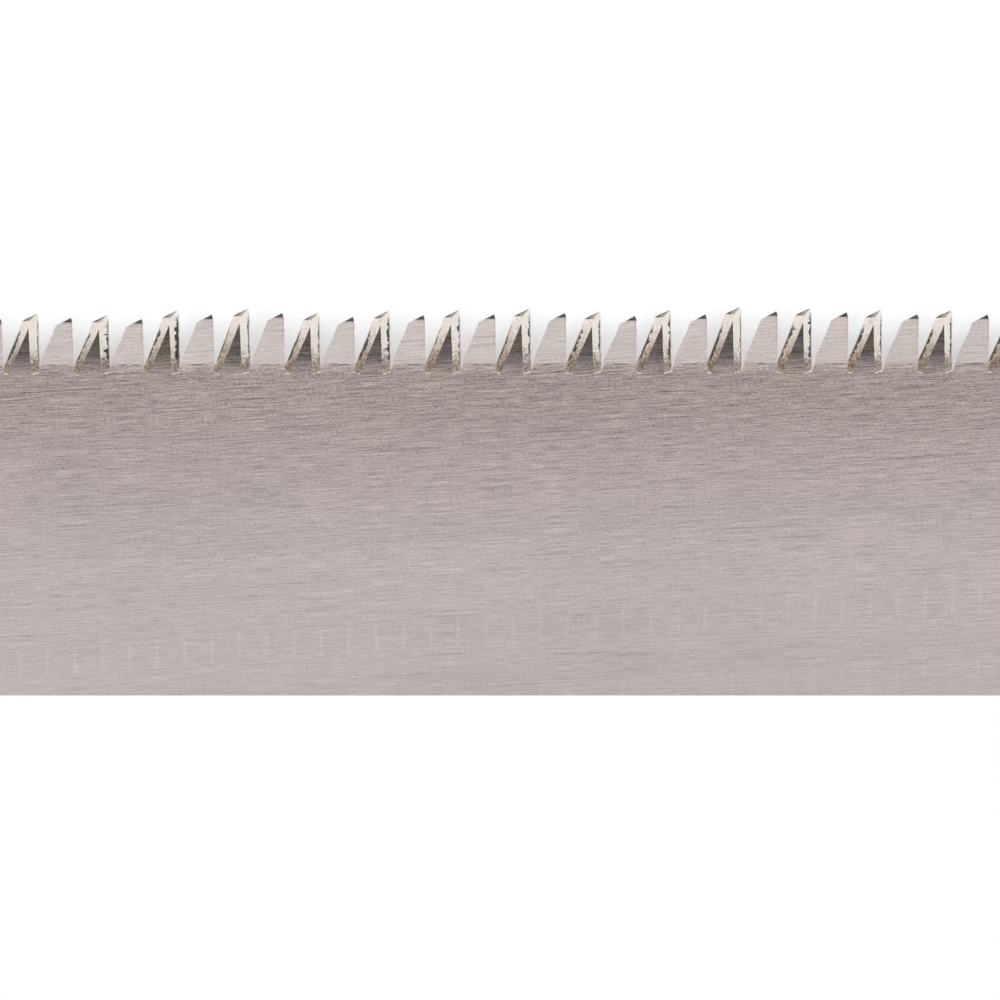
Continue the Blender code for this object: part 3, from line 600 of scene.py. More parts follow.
def plastic():
    """Matt black moulding with a fine spark-eroded grain."""
    f = Finish("cap_plastic")
    grain = f.noise(f.in_mm(), 5.0, 3.0)
    rub = f.noise(f.in_mm(), 0.18, 3.0)
    colour = f.mix(f.step(rub, 0.4, 0.75), linear(34, 34, 35), linear(48, 47, 47))
    rough = f.plus(0.42, f.times(rub, 0.16))
    return f.done(colour, rough, 0.0, f.bump(grain, 0.25, 0.06 * MM))


HOLDER_STEEL = steel("holder_steel", linear(196, 196, 194), 0.34, (6.0, 0.14, 0.14))
FASTENER_STEEL = steel("fastener_steel", linear(208, 208, 206), 0.26, (0.5, 0.5, 0.3))
PIN_STEEL = steel("pin_steel", linear(168, 168, 166), 0.4, (0.4, 0.4, 2.0))
WOOD = wood()
RATTAN = rattan()
CAP_PLASTIC = plastic()

# -------- shapes


def linked(name, data):
    """A new object in the scene."""
    made = bpy.data.objects.new(name, data)
    bpy.context.scene.collection.objects.link(made)
    return made


def marked(mesh, names, values):
    """Gives each point of a mesh a row of named values for its materials."""
    for name, column in zip(names, np.transpose(values)):
        layer = mesh.attributes.new(name, "FLOAT", "POINT")
        layer.data.foreach_set("value", column.astype(np.float32))


def shown(name, mesh, materials, body, node, sharp=SHARP):
    """Puts a mesh in the scene in place of a CAD node."""
    made = linked(name, mesh)
    for material in materials:
        mesh.materials.append(material)
    mesh.shade_smooth()
    mesh.set_sharp_from_angle(angle=sharp)
    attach(made, body)
    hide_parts(node)


# Facets of a tooth, by material
PLATE_FACE, FLAT_FACE, INNER_FACE, BACK_BEVEL = range(4)
FRONT_BEVEL, TOP_FACET, TIP_FACET, CUT_EDGE = range(4, 8)


def skew(h, d):
    """How far a slot wall lies askew at a depth; the bevels grow a little wider upwards."""
    return (d * (1 + BEVEL_SPREAD * h / DEPTH) - PLATE / 2) * FLEAM


def back_wall(h, d, fill=0.0):
    return SLOT_FLOOR / 2 + h * TAN_BACK + skew(h, d) - fill


def front_wall(h, d, fill=0.0):
    return PITCH - SLOT_FLOOR / 2 - h * (TAN_FRONT - FRONT_STANDS) - skew(h, d) + fill


def spread(a, b, count):
    return [a + (b - a) * k / count for k in range(count)]


def tooth_form():
    """One crosscut tooth: X along the edge, Y up from the slot floor, Z in from its flat face."""
    form = bmesh.new()
    half = PLATE / 2
    solid = PITCH - SLOT_FLOOR
    inward, flat, narrow = 4, 3, 2
    turns = [radians(a) for a in (0, 30, 60, 90)]
    rows = [(SLOT_ROUND * (1 - cos(a)), SLOT_ROUND * (1 - sin(a))) for a in turns]
    taper = TAN_BACK + TAN_FRONT - FRONT_STANDS
    apex = (solid - PLATE * FLEAM) / (taper + 2 * PLATE * FLEAM * BEVEL_SPREAD / DEPTH)
    bend = [BEND_HEIGHT + BEND_SOFT * k / 2 for k in range(-2, 3)]
    body = spread(bend[-1], apex, 9)[1:]
    above = spread(apex, PAST_TIP, 5) + [PAST_TIP]
    rows += [(h, 0.0) for h in (LOWEST_ROW, *bend, *body, *above)]
    rings = []
    for h, fill in rows:
        meet = solid + 2 * fill + PLATE * FLEAM - h * taper
        inner = min(PLATE, meet / (2 * FLEAM * (1 + BEVEL_SPREAD * h / DEPTH)))
        points = [(back_wall(h, d, fill), h, d) for d in spread(0.0, inner, inward)]
        sides = back_wall(h, inner, fill), front_wall(h, inner, fill)
        points += [(u, h, inner) for u in spread(*sides, narrow)]
        points += [(front_wall(h, d, fill), h, d) for d in spread(inner, 0.0, inward)]
        sides = front_wall(h, 0.0, fill), back_wall(h, 0.0, fill)
        points += [(u, h, 0.0) for u in spread(*sides, flat)]
        rings.append([form.verts.new(p) for p in points])
    kinds = [BACK_BEVEL] * inward + [INNER_FACE] * narrow
    kinds += [FRONT_BEVEL] * inward + [FLAT_FACE] * flat
    for low, high in zip(rings, rings[1:]):
        for k, kind in enumerate(kinds):
            there = (k + 1) % len(kinds)
            form.faces.new((low[k], low[there], high[there], high[k])).material_index = kind
    form.faces.new(rings[-1])
    # Half of the slot floor on either side
    base = rings[0]
    walls = (
        (base[: inward + 1], lambda d: (d - half) * FLEAM),
        (base[inward + narrow : 2 * inward + narrow + 1], lambda d: PITCH - (d - half) * FLEAM),
    )
    for wall, middle in walls:
        line = [form.verts.new((middle(v.co.z), 0.0, v.co.z)) for v in wall]
        for k in range(inward):
            form.faces.new((wall[k], wall[k + 1], line[k + 1], line[k])).material_index = CUT_EDGE
    bmesh.ops.remove_doubles(form, verts=form.verts[:], dist=SAME_POINT)
    bmesh.ops.dissolve_degenerate(form, edges=form.edges[:], dist=TINY)
    # Third facet, then the dressed tip
    tip_u = front_wall(DEPTH, 0.0)
    planes = (
        ((tip_u, DEPTH, 0.0), (-TOP_SLOPE, 1.0, TOP_TILT), TOP_FACET),
        ((tip_u, DEPTH - DRESSED_HEIGHT, 0.0), (0.0, 1.0, -1.0 / DRESSED), TIP_FACET),
    )
    for point, normal, kind in planes:
        whole = form.verts[:] + form.edges[:] + form.faces[:]
        normal = Vector(normal).normalized()
        split = bmesh.ops.bisect_plane(
            form, geom=whole, dist=TINY, plane_co=point, plane_no=normal, clear_outer=True
        )
        rim = [e for e in split["geom_cut"] if isinstance(e, bmesh.types.BMEdge) and e.is_boundary]
        for face in bmesh.ops.edgeloop_fill(form, edges=rim)["faces"]:
            face.material_index = kind
    bmesh.ops.recalc_face_normals(form, faces=form.faces[:])
    return form


def bent(h):
    """Share of the set at a height: none below the bend, then growing evenly."""
    past = h - BEND_HEIGHT
    soft = (past + BEND_SOFT) ** 2 / (4 * BEND_SOFT)
    soft = np.where(np.abs(past) < BEND_SOFT, soft, np.maximum(past, 0.0))
    return soft / (DEPTH - BEND_HEIGHT)


def taken(form):
    """The points, faces and materials of a form that is done with."""
    form.verts.index_update()
    points = np.array([v.co for v in form.verts])
    faces = [[v.index for v in f.verts] for f in form.faces]
    kinds = [f.material_index for f in form.faces]
    form.free()
    return points, faces, kinds


def crosscut_row():
    """All crosscut teeth: points, faces, materials, and each point's rise, depth and lead."""
    shape, faces, kinds = taken(tooth_form())
    chance = random.Random(UNEVEN_SEED)
    worn = [chance.random() for _ in range(tooth_count)]
    u, h, d = shape.T
    rise = np.clip(h / DEPTH, 0.0, 1.0)
    marks = np.stack([rise, d / PLATE, (front_wall(h, d) - u) / MM], axis=1)
    settle = np.clip((rise - WEAR_FROM) / WEAR_OVER, 0.0, 1.0)
    ragged = RAGGED_OUTER + (RAGGED_INNER - RAGGED_OUTER) * d / PLATE
    ragged = ragged * np.clip(h / (3 * SLOT_ROUND), 0.0, 1.0)
    # The slot behind a flat tooth is cut wider at its foot
    past = u - back_wall(h, d)
    foot = FOOT_CUT * np.clip((FOOT_TOP - h) / FOOT_FADE, 0.0, 1.0)
    foot *= np.clip((past + SLOT_FLOOR / 2) / (SLOT_FLOOR / 2 - SLOT_ROUND), 0.0, 1.0)
    foot *= np.clip(1.0 - past / FOOT_REACH, 0.0, 1.0)
    points, all_faces = [], []
    for i in range(tooth_count):
        filed = 1 if i % 2 else -1
        # Teeth are jointed in pairs
        lowered = UNEVEN_TIPS * worn[(i + 1) // 2 - 1] + (0.0 if i % 2 else FLAT_TEETH_LOWER)
        height = h - lowered * settle
        places = shape / MM * TEAR_SCALE + (TEAR_SHIFT * i, 0.0, 0.0)
        torn = [noise.noise(Vector(place)) for place in places]
        along_edge = first_start + i * PITCH + u + np.array(torn) * ragged
        if filed < 0:
            along_edge += foot
        w = filed * (d - PLATE / 2 - TOOTH_SET * bent(height))
        shifts = np.outer(along_edge, along) + np.outer(height - DEPTH, out) + np.outer(w, up)
        points.append(shifts + np.array(toe_tip))
        for face in faces:
            order = face if filed > 0 else face[::-1]
            all_faces.append([i * len(shape) + k for k in order])
    return np.concatenate(points), all_faces, kinds * tooth_count, np.tile(marks, (tooth_count, 1))


def blade_plate():
    """The CAD blade without its crosscut teeth."""
    form = bmesh.new()
    form.from_mesh(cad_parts["blade"].data)
    bmesh.ops.remove_doubles(form, verts=form.verts[:], dist=SAME_CAD_POINT)
    root = out.dot(floor_line)
    first, last = first_start - PITCH / 3, first_start + tooth_count * PITCH + PITCH / 3
    gone = []
    for face in form.faces:
        corners = [v.co for v in face.verts]
        above = all(c.dot(out) - root > -ON_CAD_LINE for c in corners)
        places = [(c - toe_tip).dot(along) for c in corners]
        if above and min(places) > first and max(places) < last:
            gone.append(face)
    bmesh.ops.delete(form, geom=gone, context="FACES")
    for face in form.faces:
        face.material_index = PLATE_FACE if abs(face.normal.z) > FACES_UP else CUT_EDGE
    return form


def blade():
    plate_points, plate_faces, plate_kinds = taken(blade_plate())
    points, faces, kinds, marks = crosscut_row()
    start = len(plate_points)
    mesh = bpy.data.meshes.new("blade_steel")
    all_points = np.concatenate([plate_points, points])
    mesh.from_pydata(all_points.tolist(), [], plate_faces + [[start + k for k in f] for f in faces])
    mesh.polygons.foreach_set("material_index", plate_kinds + kinds)
    marked(mesh, ("rise", "depth", "lead"), np.concatenate([np.zeros((start, 3)), marks]))
    materials = [
        brushed("saw_steel"),
        brushed("tooth_face", flat_tone, flat_tint, flat_contrast),
        brushed("tooth_inner_face", inner_tone, None, 1.1),
        # Both bevels are one ground steel; the back bevel's colours are painted darker than the
        # front's, as painted shade
        bevel("back_bevel", linear(231, 221, 213), linear(168, 148, 131), (0.2, 0.78), 0.72),
        bevel("front_bevel", linear(255, 248, 240), linear(188, 172, 161), (0.08, 0.42), 0.86),
        facet("third_facet", linear(166, 162, 156), linear(132, 128, 124), end=linear(72, 68, 64)),
        # The dressed tip is painted dark grey: partly the darker steel of a hardened tip, partly
        # painted shade
        facet("dressed_tip", linear(118, 116, 114), linear(86, 86, 88)),
        facet("cut_edge", linear(182, 172, 165), linear(138, 127, 118), 5.0),
    ]
    shown("blade_steel", mesh, materials, "blade", "blade")


def skin(name, rings, ends=True):
    """A mesh over a row of rings; the ends are closed, or the last ring is joined to the first."""
    form = bmesh.new()
    rows = [[form.verts.new(point) for point in ring] for ring in rings]
    pairs = list(zip(rows, rows[1:])) if ends else list(zip(rows, rows[1:] + rows[:1]))
    for low, high in pairs:
        for k in range(len(low)):
            form.faces.new((low[k - 1], low[k], high[k], high[k - 1]))
    if ends:
        form.faces.new(rows[0])
        form.faces.new(rows[-1])
    bmesh.ops.recalc_face_normals(form, faces=form.faces[:])
    mesh = bpy.data.meshes.new(name)
    form.to_mesh(mesh)
    form.free()
    return mesh


def circle(radius, z, sides=TURNED_SIDES):
    angles = [tau * (k + 0.5) / sides for k in range(sides)]
    return [(radius * cos(a), radius * sin(a), z) for a in angles]


def domed(radius, height, base):
    """Profile of a domed head from its rim up, as (radius, height) pairs."""
    turns = [pi / 2 * k / DOME_STEPS for k in range(DOME_STEPS)]
    profile = [(radius * cos(a), base + height * sin(a)) for a in turns]
    return profile + [(radius * DOME_TOP, base + height)]


def turned(name, profile, sides=TURNED_SIDES):
    return skin(name, [circle(r, z, sides) for r, z in profile])


def box_ring(half_x, half_y, z):
    return [(-half_x, -half_y, z), (half_x, -half_y, z), (half_x, half_y, z), (-half_x, half_y, z)]


def block(name, half_x, half_y, low, high):
    return skin(name, [box_ring(half_x, half_y, z) for z in (low, high)])


def worked(mesh, tools, operation="DIFFERENCE", edge=0.0):
    """A mesh with tools cut from it, or kept within them, and its sharp edges then eased."""
    stock = linked("stock", mesh)
    helpers = [linked("tool", tool) for tool in tools]
    for helper in helpers:
        cut = stock.modifiers.new("cut", "BOOLEAN")
        cut.operation = operation
        cut.solver = "EXACT"
        cut.object = helper
    if edge:
        ease = stock.modifiers.new("ease", "BEVEL")
        ease.width = edge
        ease.segments = 2
        ease.limit_method = "ANGLE"
        ease.angle_limit = EASED
    # Faces with holes in them are drawn wrongly unless they are split
    split = stock.modifiers.new("split", "TRIANGULATE")
    split.min_vertices = 5
    ready = stock.evaluated_get(bpy.context.evaluated_depsgraph_get())
    result = bpy.data.meshes.new_from_object(ready)
    for helper in [stock, *helpers]:
        bpy.data.objects.remove(helper)
    return result


def eased(mesh, width):
    """A prism with its sharp edges eased, its flat faces left whole."""
    form = bmesh.new()
    form.from_mesh(mesh)
    sharp = [e for e in form.edges if e.calc_face_angle(0.0) > EASED]
    bmesh.ops.bevel(form, geom=sharp, offset=width, segments=2, profile=0.5, affect="EDGES")
    form.to_mesh(mesh)
    form.free()
    return mesh


def placed(mesh, x, y=0.0, turn=None):
    """Moves a mesh from its own axis to a place on the saw."""
    matrix = Matrix.Translation(datum + Vector((x, y, 0.0)))
    if turn:
        matrix = matrix @ turn
    mesh.transform(matrix)
    return mesh


# -------- holder and clamp


def tang_half(x):
    return (TANG_WIDTH - TANG_NARROWS * (x - MOUTH_X) / TANG_LENGTH) / 2


def holder_outline():
    """Mouth with round corners, narrowing to a straight tail in the handle."""
    upper = []
    for k in range(CORNER_STEPS + 1):
        a = radians(180.0 - 90.0 * k / CORNER_STEPS)
        x = MOUTH_X + HOLDER_CORNER * (1 + cos(a))
        upper.append((x, MOUTH_HALF - HOLDER_CORNER * (1 - sin(a))))
    start = MOUTH_X + HOLDER_CORNER + MOUTH_STRAIGHT
    end = HANDLE_START - FIT_GAP
    for k in range(1, NECK_STEPS + 1):
        share = k / NECK_STEPS
        ease = share * share * (3 - 2 * share)
        upper.append((start + (end - start) * share, MOUTH_HALF + (TAIL_HALF - MOUTH_HALF) * ease))
    upper += [(TAIL_END_X - TAIL_CORNER, TAIL_HALF), (TAIL_END_X, TAIL_HALF - TAIL_CORNER)]
    return upper + [(x, -y) for x, y in reversed(upper)]


def holder_half(x):
    upper = [p for p in holder_outline() if p[1] > 0]
    return float(np.interp(x, *zip(*upper)))


rivet_places = []
for rivet_x in (MOUTH_X + x for x in RIVETS_FROM_MOUTH):
    rivet_y = (holder_half(rivet_x) + tang_half(rivet_x)) / 2
    rivet_places += [(rivet_x, rivet_y), (rivet_x, -rivet_y)]


def drill(radius, x, y=0.0):
    """A tool for a hole up through the holder."""
    tool = turned("drill", [(radius, z) for z in (-drill_reach, drill_reach)], SMALL_SIDES)
    return placed(tool, x, y)


def cheeks():
    for name, low, high in (("top", half_slot, holder_top), ("bottom", -holder_top, -half_slot)):
        rings = [[datum + Vector((x, y, z)) for x, y in holder_outline()] for z in (low, high)]
        holes = [drill(RIVET_RADIUS + SLOT_GAP, x, y) for x, y in rivet_places]
        holes.append(drill(SCREW_RADIUS + FIT_GAP, SCREW_X))
        holes += [drill(PIN_RADIUS + FIT_GAP, HANDLE_START + x) for x in PINS_FROM_START]
        mesh = worked(eased(skin("cheek", rings), CHEEK_EDGE), holes)
        node = f"holder_cheek_{name}"
        shown(f"cheek_{name}", mesh, [HOLDER_STEEL], "handle", node, SHARP_CHEEK)


def rivets():
    head = [(RIVET_RADIUS, seat)] + domed(*RIVET_HEAD, seat)
    profile = [(r, -z) for r, z in reversed(head)] + head
    for name, (x, y) in zip(("front_left", "front_right", "rear_left", "rear_right"), rivet_places):
        mesh = placed(turned("rivet", profile), x, y)
        node = f"holder_rivet_{name}"
        shown(f"rivet_{name}", mesh, [FASTENER_STEEL], "handle", node)


def threaded(low, high, radius):
    """Rings of a right-hand thread from low to high, running out at both ends."""
    rings = []
    steep, crest = THREAD_FORM
    count = int((high - low) / THREAD_PITCH * THREAD_STEPS)
    for k in range(count + 1):
        z = low + (high - low) * k / count
        fade = min(1.0, (high - z) / THREAD_PITCH, THREAD_START + (z - low) / THREAD_PITCH)
        ring = []
        for i in range(TURNED_SIDES):
            share = (i + 0.5) / TURNED_SIDES
            wave = abs((z / THREAD_PITCH - share) % 1.0 - 0.5) * 2
            r = radius - THREAD_DEPTH * fade * min(1.0, max(0.0, wave * steep - crest))
            angle = tau * share
            ring.append((r * cos(angle), r * sin(angle), z))
        rings.append(ring)
    return rings


def clamp():
    bright = [FASTENER_STEEL]
    head_low = seat + WASHER[1] + SEAT_GAP
    head_high = head_low + SCREW_HEAD[1]
    nut_low = -seat - NUT_THICKNESS
    end = nut_low - SCREW_PAST_NUT
    radius, height = SCREW_HEAD
    rings = [circle(SCREW_RADIUS * SCREW_END, end)]
    rings += threaded(end + SCREW_RIM, seat, SCREW_RADIUS)
    rim = [(SCREW_RADIUS, head_low), (radius - SCREW_RIM, head_low), (radius, head_low + SCREW_RIM)]
    rim += domed(radius, height * 0.5, head_low + height * 0.5)[:-3]
    rim += [(radius * SCREW_TOP, head_high), (radius * DOME_TOP, head_high)]
    rings += [circle(r, z) for r, z in rim]
    wide, deep = COIN_SLOT
    slot = block("slot", wide / 2, 2 * radius, head_high - deep, head_high + deep)
    mesh = worked(skin("screw", rings), [slot], edge=COIN_SLOT_EDGE)
    placed(mesh, SCREW_X)
    shown("clamp_coin_screw", mesh, bright, "clamp_screw", "clamp_screw")

    outer, thick = WASHER
    hole, ease = SCREW_RADIUS + FIT_GAP, WASHER_EDGE
    profile = [(hole, seat + ease), (hole + ease, seat), (outer - ease, seat), (outer, seat + ease)]
    profile += [(r, 2 * seat + thick - z) for r, z in reversed(profile)]
    mesh = skin("washer", [circle(r, z, FINE_SIDES) for r, z in profile], ends=False)
    placed(mesh, SCREW_X)
    shown("clamp_disc", mesh, bright, "clamp_washer", "clamp_washer")

    corner = NUT_FLATS / 2 / cos(pi / 6)
    hexagon = turned("nut", [(corner, nut_low), (corner, -seat)], 6)
    bite = NUT_CHAMFER
    flat, wide = (r * share for r, share in zip((NUT_FLATS / 2, corner), NUT_CHAMFER_REACH))
    chamfered = [(flat, nut_low), (wide, nut_low + bite), (wide, -seat - bite), (flat, -seat)]
    mesh = worked(hexagon, [turned("chamfer", chamfered, FINE_SIDES)], "INTERSECT")
    bore, mouth = SCREW_RADIUS + SLOT_GAP, SCREW_RADIUS + NUT_MOUTH
    drilled = [(mouth, nut_low - bite), (mouth, nut_low), (bore, nut_low + bite)]
    drilled += [(bore, -seat - bite), (mouth, -seat), (mouth, -seat + bite)]
    mesh = worked(mesh, [turned("bore", drilled)])
    placed(mesh, SCREW_X)
    shown("clamp_hex_nut", mesh, bright, "handle", "clamp_nut", SHARP_NUT)


# -------- handle


def grip(x, more=0.0):
    """Half width and half height of the handle at x, grown by a margin."""
    share = (x - HANDLE_START) / HANDLE_LENGTH
    return [front + (butt - front) * share + more for front, butt in zip(FRONT_HALF, BUTT_HALF)]


def oval_point(x, half_width, half_height, angle):
    """A point on the handle's section, an oval a little flattened above and below."""
    c, s = cos(angle), sin(angle)
    reach = (abs(c) ** OVAL_POWER + abs(s) ** OVAL_POWER) ** (-1 / OVAL_POWER)
    return datum + Vector((x, half_width * c * reach, half_height * SIDE_DROP * s * reach))


def oval(x, half_width, half_height):
    return [oval_point(x, half_width, half_height, angle) for angle in OVAL_TURNS]


def reaching(x, reach):
    """A ring with an oval's points; reach gives how far out each is, from its cosine and sine."""
    points = []
    for c, s in ((cos(angle), sin(angle)) for angle in OVAL_TURNS):
        points.append(datum + Vector((x, c * reach(c, s), s * reach(c, s))))
    return points


def window(x, *half):
    return reaching(x, lambda *turn: min(h / max(abs(t), TINY) for h, t in zip(half, turn)))


def hole_ring(x, radius):
    return reaching(x, lambda *_: radius)


def rounded(end, radius, steps):
    """Places and sinks over a rounded edge; the radius is negative at the butt."""
    turns = [pi / 2 * k / steps for k in range(steps + 1)]
    return [(end + radius * (1 - sin(a)), abs(radius) * (1 - cos(a))) for a in turns]


def ferrule():
    end = GRIP_START_X - FIT_GAP
    room = (TAIL_HALF + FIT_GAP, holder_top + FIT_GAP)
    outside = [(end, FERRULE_RIM), (end - FERRULE_RIM, 0.0)]
    # Two rolled grooves, then the rounded front edge
    mouth, floor = GROOVE_HALF
    groove = ((mouth, 0.0), (floor, GROOVE_DEPTH), (-floor, GROOVE_DEPTH), (-mouth, 0.0))
    for middle in GROOVES:
        outside += [(end - GROOVES_FROM + middle + shift, sink) for shift, sink in groove]
    outside += rounded(HANDLE_START, FERRULE_EDGE, FERRULE_STEPS)
    rings = [oval(x, *grip(x, WOUND - sink)) for x, sink in outside]
    inside_x = HANDLE_START + FERRULE_WALL
    rings += [window(HANDLE_START, *room), window(inside_x, *room)]
    rings += [oval(x, *grip(x, WOUND - FERRULE_WALL)) for x in (inside_x, end)]
    mesh = skin("ferrule", rings, ends=False)
    hole = [(NAIL_RADIUS + SLOT_GAP, z) for z in (-NAIL_HOLE, NAIL_HOLE)]
    mesh = worked(mesh, [placed(turned("drill", hole, NAIL_HOLE_SIDES), NAIL_X)])
    shown("ferrule_cup", mesh, [HOLDER_STEEL], "handle", "ferrule")

    nail_seat = grip(NAIL_X, WOUND)[1] * SIDE_DROP
    under = nail_seat + FIT_GAP
    point = nail_seat - NAIL_LENGTH
    profile = [(NAIL_RADIUS * POINT_BLUNT, point), (NAIL_RADIUS, point + NAIL_POINT)]
    profile += [(NAIL_RADIUS, under)] + domed(*NAIL_HEAD, under)
    for name, sign in (("top", 1), ("bottom", -1)):
        mesh = turned("nail", [(r, sign * z) for r, z in profile], SMALL_SIDES)
        placed(mesh, NAIL_X)
        node = f"ferrule_nail_{name}"
        shown(f"nail_{name}", mesh, [FASTENER_STEEL], "handle", node)


def end_cap():
    half = [side + WOUND for side in BUTT_HALF]
    front = GRIP_END_X + FIT_GAP
    outside = [(front, CAP_RIM), (front + CAP_RIM, 0.0), (front + CAP_STRAIGHT, 0.0)]
    outside += rounded(BUTT_X, -CAP_EDGE, CORNER_STEPS)
    rings = [oval(x, half[0] - sink, half[1] - sink) for x, sink in outside]
    head, hole = CAP_SCREW_HEAD[0] + FIT_GAP, CAP_SCREW_RADIUS + SLOT_GAP
    ledge, floor = CAP_SCREW_SEAT - SEAT_GAP, BUTT_X - CAP_FLOOR
    bore = [(BUTT_X, head + COUNTERSINK), (BUTT_X - COUNTERSINK, head)]
    bore += [(ledge, head), (ledge, hole), (floor, hole)]
    rings += [hole_ring(*place) for place in bore]
    rings += [oval(x, half[0] - CAP_WALL, half[1] - CAP_WALL) for x in (floor, front)]
    mesh = skin("cap", rings, ends=False)
    shown("cap_moulding", mesh, [CAP_PLASTIC], "handle", "end_cap")

    radius, height = CAP_SCREW_HEAD
    profile = [(CAP_SCREW_RADIUS * POINT_BLUNT, -CAP_SCREW_LENGTH)]
    profile += [(CAP_SCREW_RADIUS, CAP_SCREW_POINT - CAP_SCREW_LENGTH)]
    profile += [(CAP_SCREW_RADIUS, 0.0), (radius, 0.0)]
    profile += domed(radius, height * 0.5, height * 0.5)
    bars = (CROSS_RECESS, CROSS_RECESS[::-1])
    cross = [block("cross", *sides, CROSS_FLOOR, CROSS_FLOOR + height) for sides in bars]
    mesh = worked(turned("cap_screw", profile), cross, edge=CAP_SCREW_EDGE)
    placed(mesh, CAP_SCREW_SEAT, turn=Matrix.Rotation(pi / 2, 4, "Y"))
    shown("cap_cross_screw", mesh, [FASTENER_STEEL], "handle", "end_cap_screw")


def rattan_strip():
    """One crowned strip wound from the ferrule to the cap, with both its ends cut to a taper."""
    turn = RATTAN_WIDTH + TURN_GAP
    start, end = GRIP_START_X + SEAT_GAP, GRIP_END_X - SEAT_GAP
    other_half = [(1.0 - share, lift) for share, lift in RATTAN_SECTION[-2::-1]]
    rings, marks = [], []
    for i in range(int((end - start) / turn + 2) * FINE_SIDES):
        lead = start + turn * (i / FINE_SIDES - 1)
        near, far = max(lead, start), min(lead + RATTAN_WIDTH, end)
        if far - near < RATTAN_THINNEST:
            continue
        angle = -pi / 2 + tau * (i + 0.5) / FINE_SIDES
        run = i / FINE_SIDES * tau * WOUND_RADIUS_MM
        # Each turn lies a little differently
        uneven = 1.0 - RATTAN_UNEVEN * noise.noise(Vector((run * 0.02, 0.0, 3.0)))
        ring = []
        for share, lift in (*RATTAN_SECTION, *other_half):
            x = near + (far - near) * share
            height = RATTAN_THICKNESS * min(1.0, lift * uneven)
            ring.append(oval_point(x, *grip(x, FIT_GAP + height), angle))
            marks.append((run, (x - lead) / RATTAN_WIDTH))
        rings.append(ring)
    mesh = skin("rattan", rings)
    marked(mesh, ("run", "across"), marks)
    shown("rattan_strip", mesh, [RATTAN], "handle", "rattan_wrap")


# -------- pieces

blade()
cheeks()
rivets()
clamp()
ferrule()
end_cap()
rattan_strip()
kept = (
    ("holder_spacer", HOLDER_STEEL),
    ("handle_half_top", WOOD),
    ("handle_half_bottom", WOOD),
    ("handle_pin_front", PIN_STEEL),
    ("handle_pin_rear", PIN_STEEL),
)
for node, finish in kept:
    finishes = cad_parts[node].data.materials
    finishes.clear()
    finishes.append(finish)

# -------- stage


def bare_material(name):
    """A material with nothing but its output, its nodes, and the output's surface."""
    made = bpy.data.materials.new(name)
    nodes = Nodes(made)
    nodes.tree.nodes.remove(nodes.tree.nodes["Principled BSDF"])
    return made, nodes, nodes.tree.nodes["Material Output"].inputs["Surface"]


def card_white():
    made, nodes, surface = bare_material("card_white")
    nodes.put(surface, nodes.add("ShaderNodeEmission").outputs[0])
    return made


def floor_paper():
    """White paper: it looks full white, less the object's shadow, and sends plain light back up."""
    made, nodes, surface = bare_material("floor_paper")
    plain = nodes.add("ShaderNodeBsdfDiffuse", PAPER_PLAIN)
    shaded = nodes.add("ShaderNodeBsdfDiffuse", PAPER_SHADED)
    glow = nodes.add("ShaderNodeEmission", WHITE, PAPER_GLOW)
    white = nodes.add("ShaderNodeAddShader", shaded.outputs[0], glow.outputs[0])
    seen = nodes.directly_seen()
    mix = nodes.add("ShaderNodeMixShader", seen, plain.outputs[0], white.outputs[0])
    nodes.put(surface, mix.outputs[0])
    return made


def sheet(name, corners, material):
    mesh = bpy.data.meshes.new(name)
    mesh.from_pydata(corners, [], [(0, 1, 2, 3)])
    mesh.materials.append(material)
    made = linked(name, mesh)
    return made


sheet("floor", box_ring(FLOOR_REACH, FLOOR_REACH, 0.0), floor_paper())

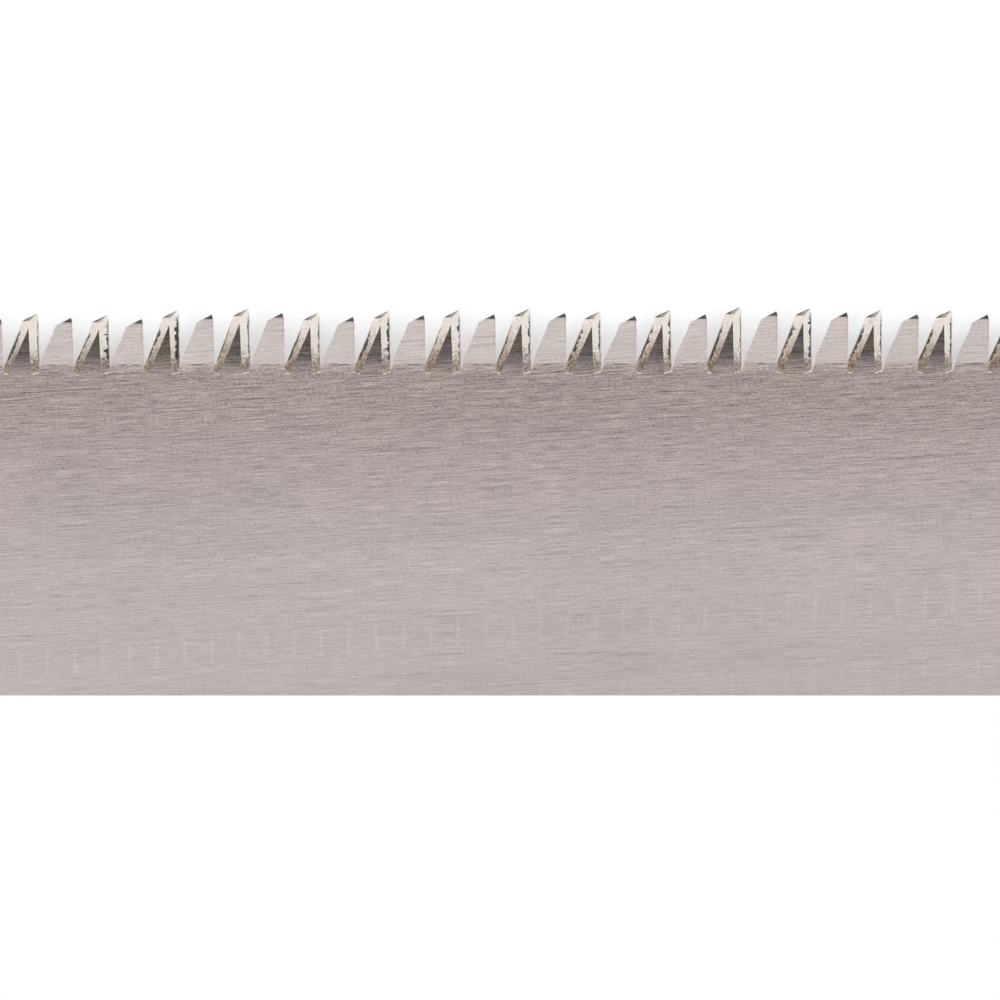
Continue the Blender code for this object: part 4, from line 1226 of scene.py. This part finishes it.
# World: a white tent with a darker opening overhead, and an even fill
world = bpy.data.worlds.new("tent")
bpy.context.scene.world = world
sky = Nodes(world)
fill = sky.tree.nodes["Background"]
sky.fill(fill, Color=WHITE, Strength=FILL)
where = sky.add("ShaderNodeTexCoord").outputs["Generated"]
opening = up * cos(OPENING_TILT) + out * sin(OPENING_TILT)
facing = sky.add("ShaderNodeVectorMath", where, opening, operation="DOT_PRODUCT").outputs["Value"]
fade = sky.step(facing, *(cos(a) for a in OPENING_FADE), TENT, OPENING)
tent = sky.add("ShaderNodeBackground", WHITE, fade)
choose = sky.add("ShaderNodeMixShader", sky.directly_seen(), fill.outputs[0], tent.outputs[0])
sky.put(sky.tree.nodes["World Output"].inputs["Surface"], choose.outputs[0])

# Camera, set so that one tooth's tip and the pitch fall where the photograph has them
focal = LENS / SENSOR * PICTURE
distance = focal * PITCH / SEEN_PITCH
back = (up * cos(CAMERA_TILT) + out * sin(CAMERA_TILT)).normalized()
level_up = (out * cos(CAMERA_TILT) - up * sin(CAMERA_TILT)).normalized()
right = along * cos(CAMERA_ROLL) - level_up * sin(CAMERA_ROLL)
top = along * sin(CAMERA_ROLL) + level_up * cos(CAMERA_ROLL)
tip = toe_tip + along * (first_start + SEEN_TOOTH * PITCH + front_wall(DEPTH, 0.0))
tip = tip - up * (PLATE / 2 + TOOTH_SET)
eye = tip + back * distance
eye -= right * (SEEN_TIP[0] - PICTURE / 2) / focal * distance
eye -= top * (PICTURE / 2 - SEEN_TIP[1]) / focal * distance
lens = bpy.data.cameras.new("camera")
lens.lens = LENS
lens.sensor_width = SENSOR
lens.clip_start = CARD_DISTANCE / 3
lens.clip_end = FAR
camera = linked("camera", lens)
camera.matrix_world = Matrix((right, top, back)).transposed().to_4x4()
camera.location = eye
bpy.context.scene.camera = camera

# Lamp beside the lens, so that the shadow of the tooth line falls in its own gaps
sun = bpy.data.lights.new("lamp", "SUN")
sun.energy = LAMP_ENERGY
sun.angle = LAMP_ANGLE
lamp = linked("lamp", sun)
from_lamp = up + out * LAMP_LEAN[0] - along * LAMP_LEAN[1]
lamp.rotation_euler = from_lamp.to_track_quat("Z", "Y").to_euler()
lamp.visible_glossy = False

# A card before the lens ends the strip where the photograph's own edge ends it
low = (PICTURE / 2 - STRIP_BOTTOM) / focal
corners = [(-CARD_HALF, low), (CARD_HALF, low), (CARD_HALF, CARD_LOW), (-CARD_HALF, CARD_LOW)]
card_corners = [eye + (right * x + top * y - back) * CARD_DISTANCE for x, y in corners]
card = sheet("lens_card", card_corners, card_white())
for kind in ("shadow", "diffuse", "glossy"):
    setattr(card, f"visible_{kind}", False)

bpy.context.scene.view_settings.view_transform = "Standard"
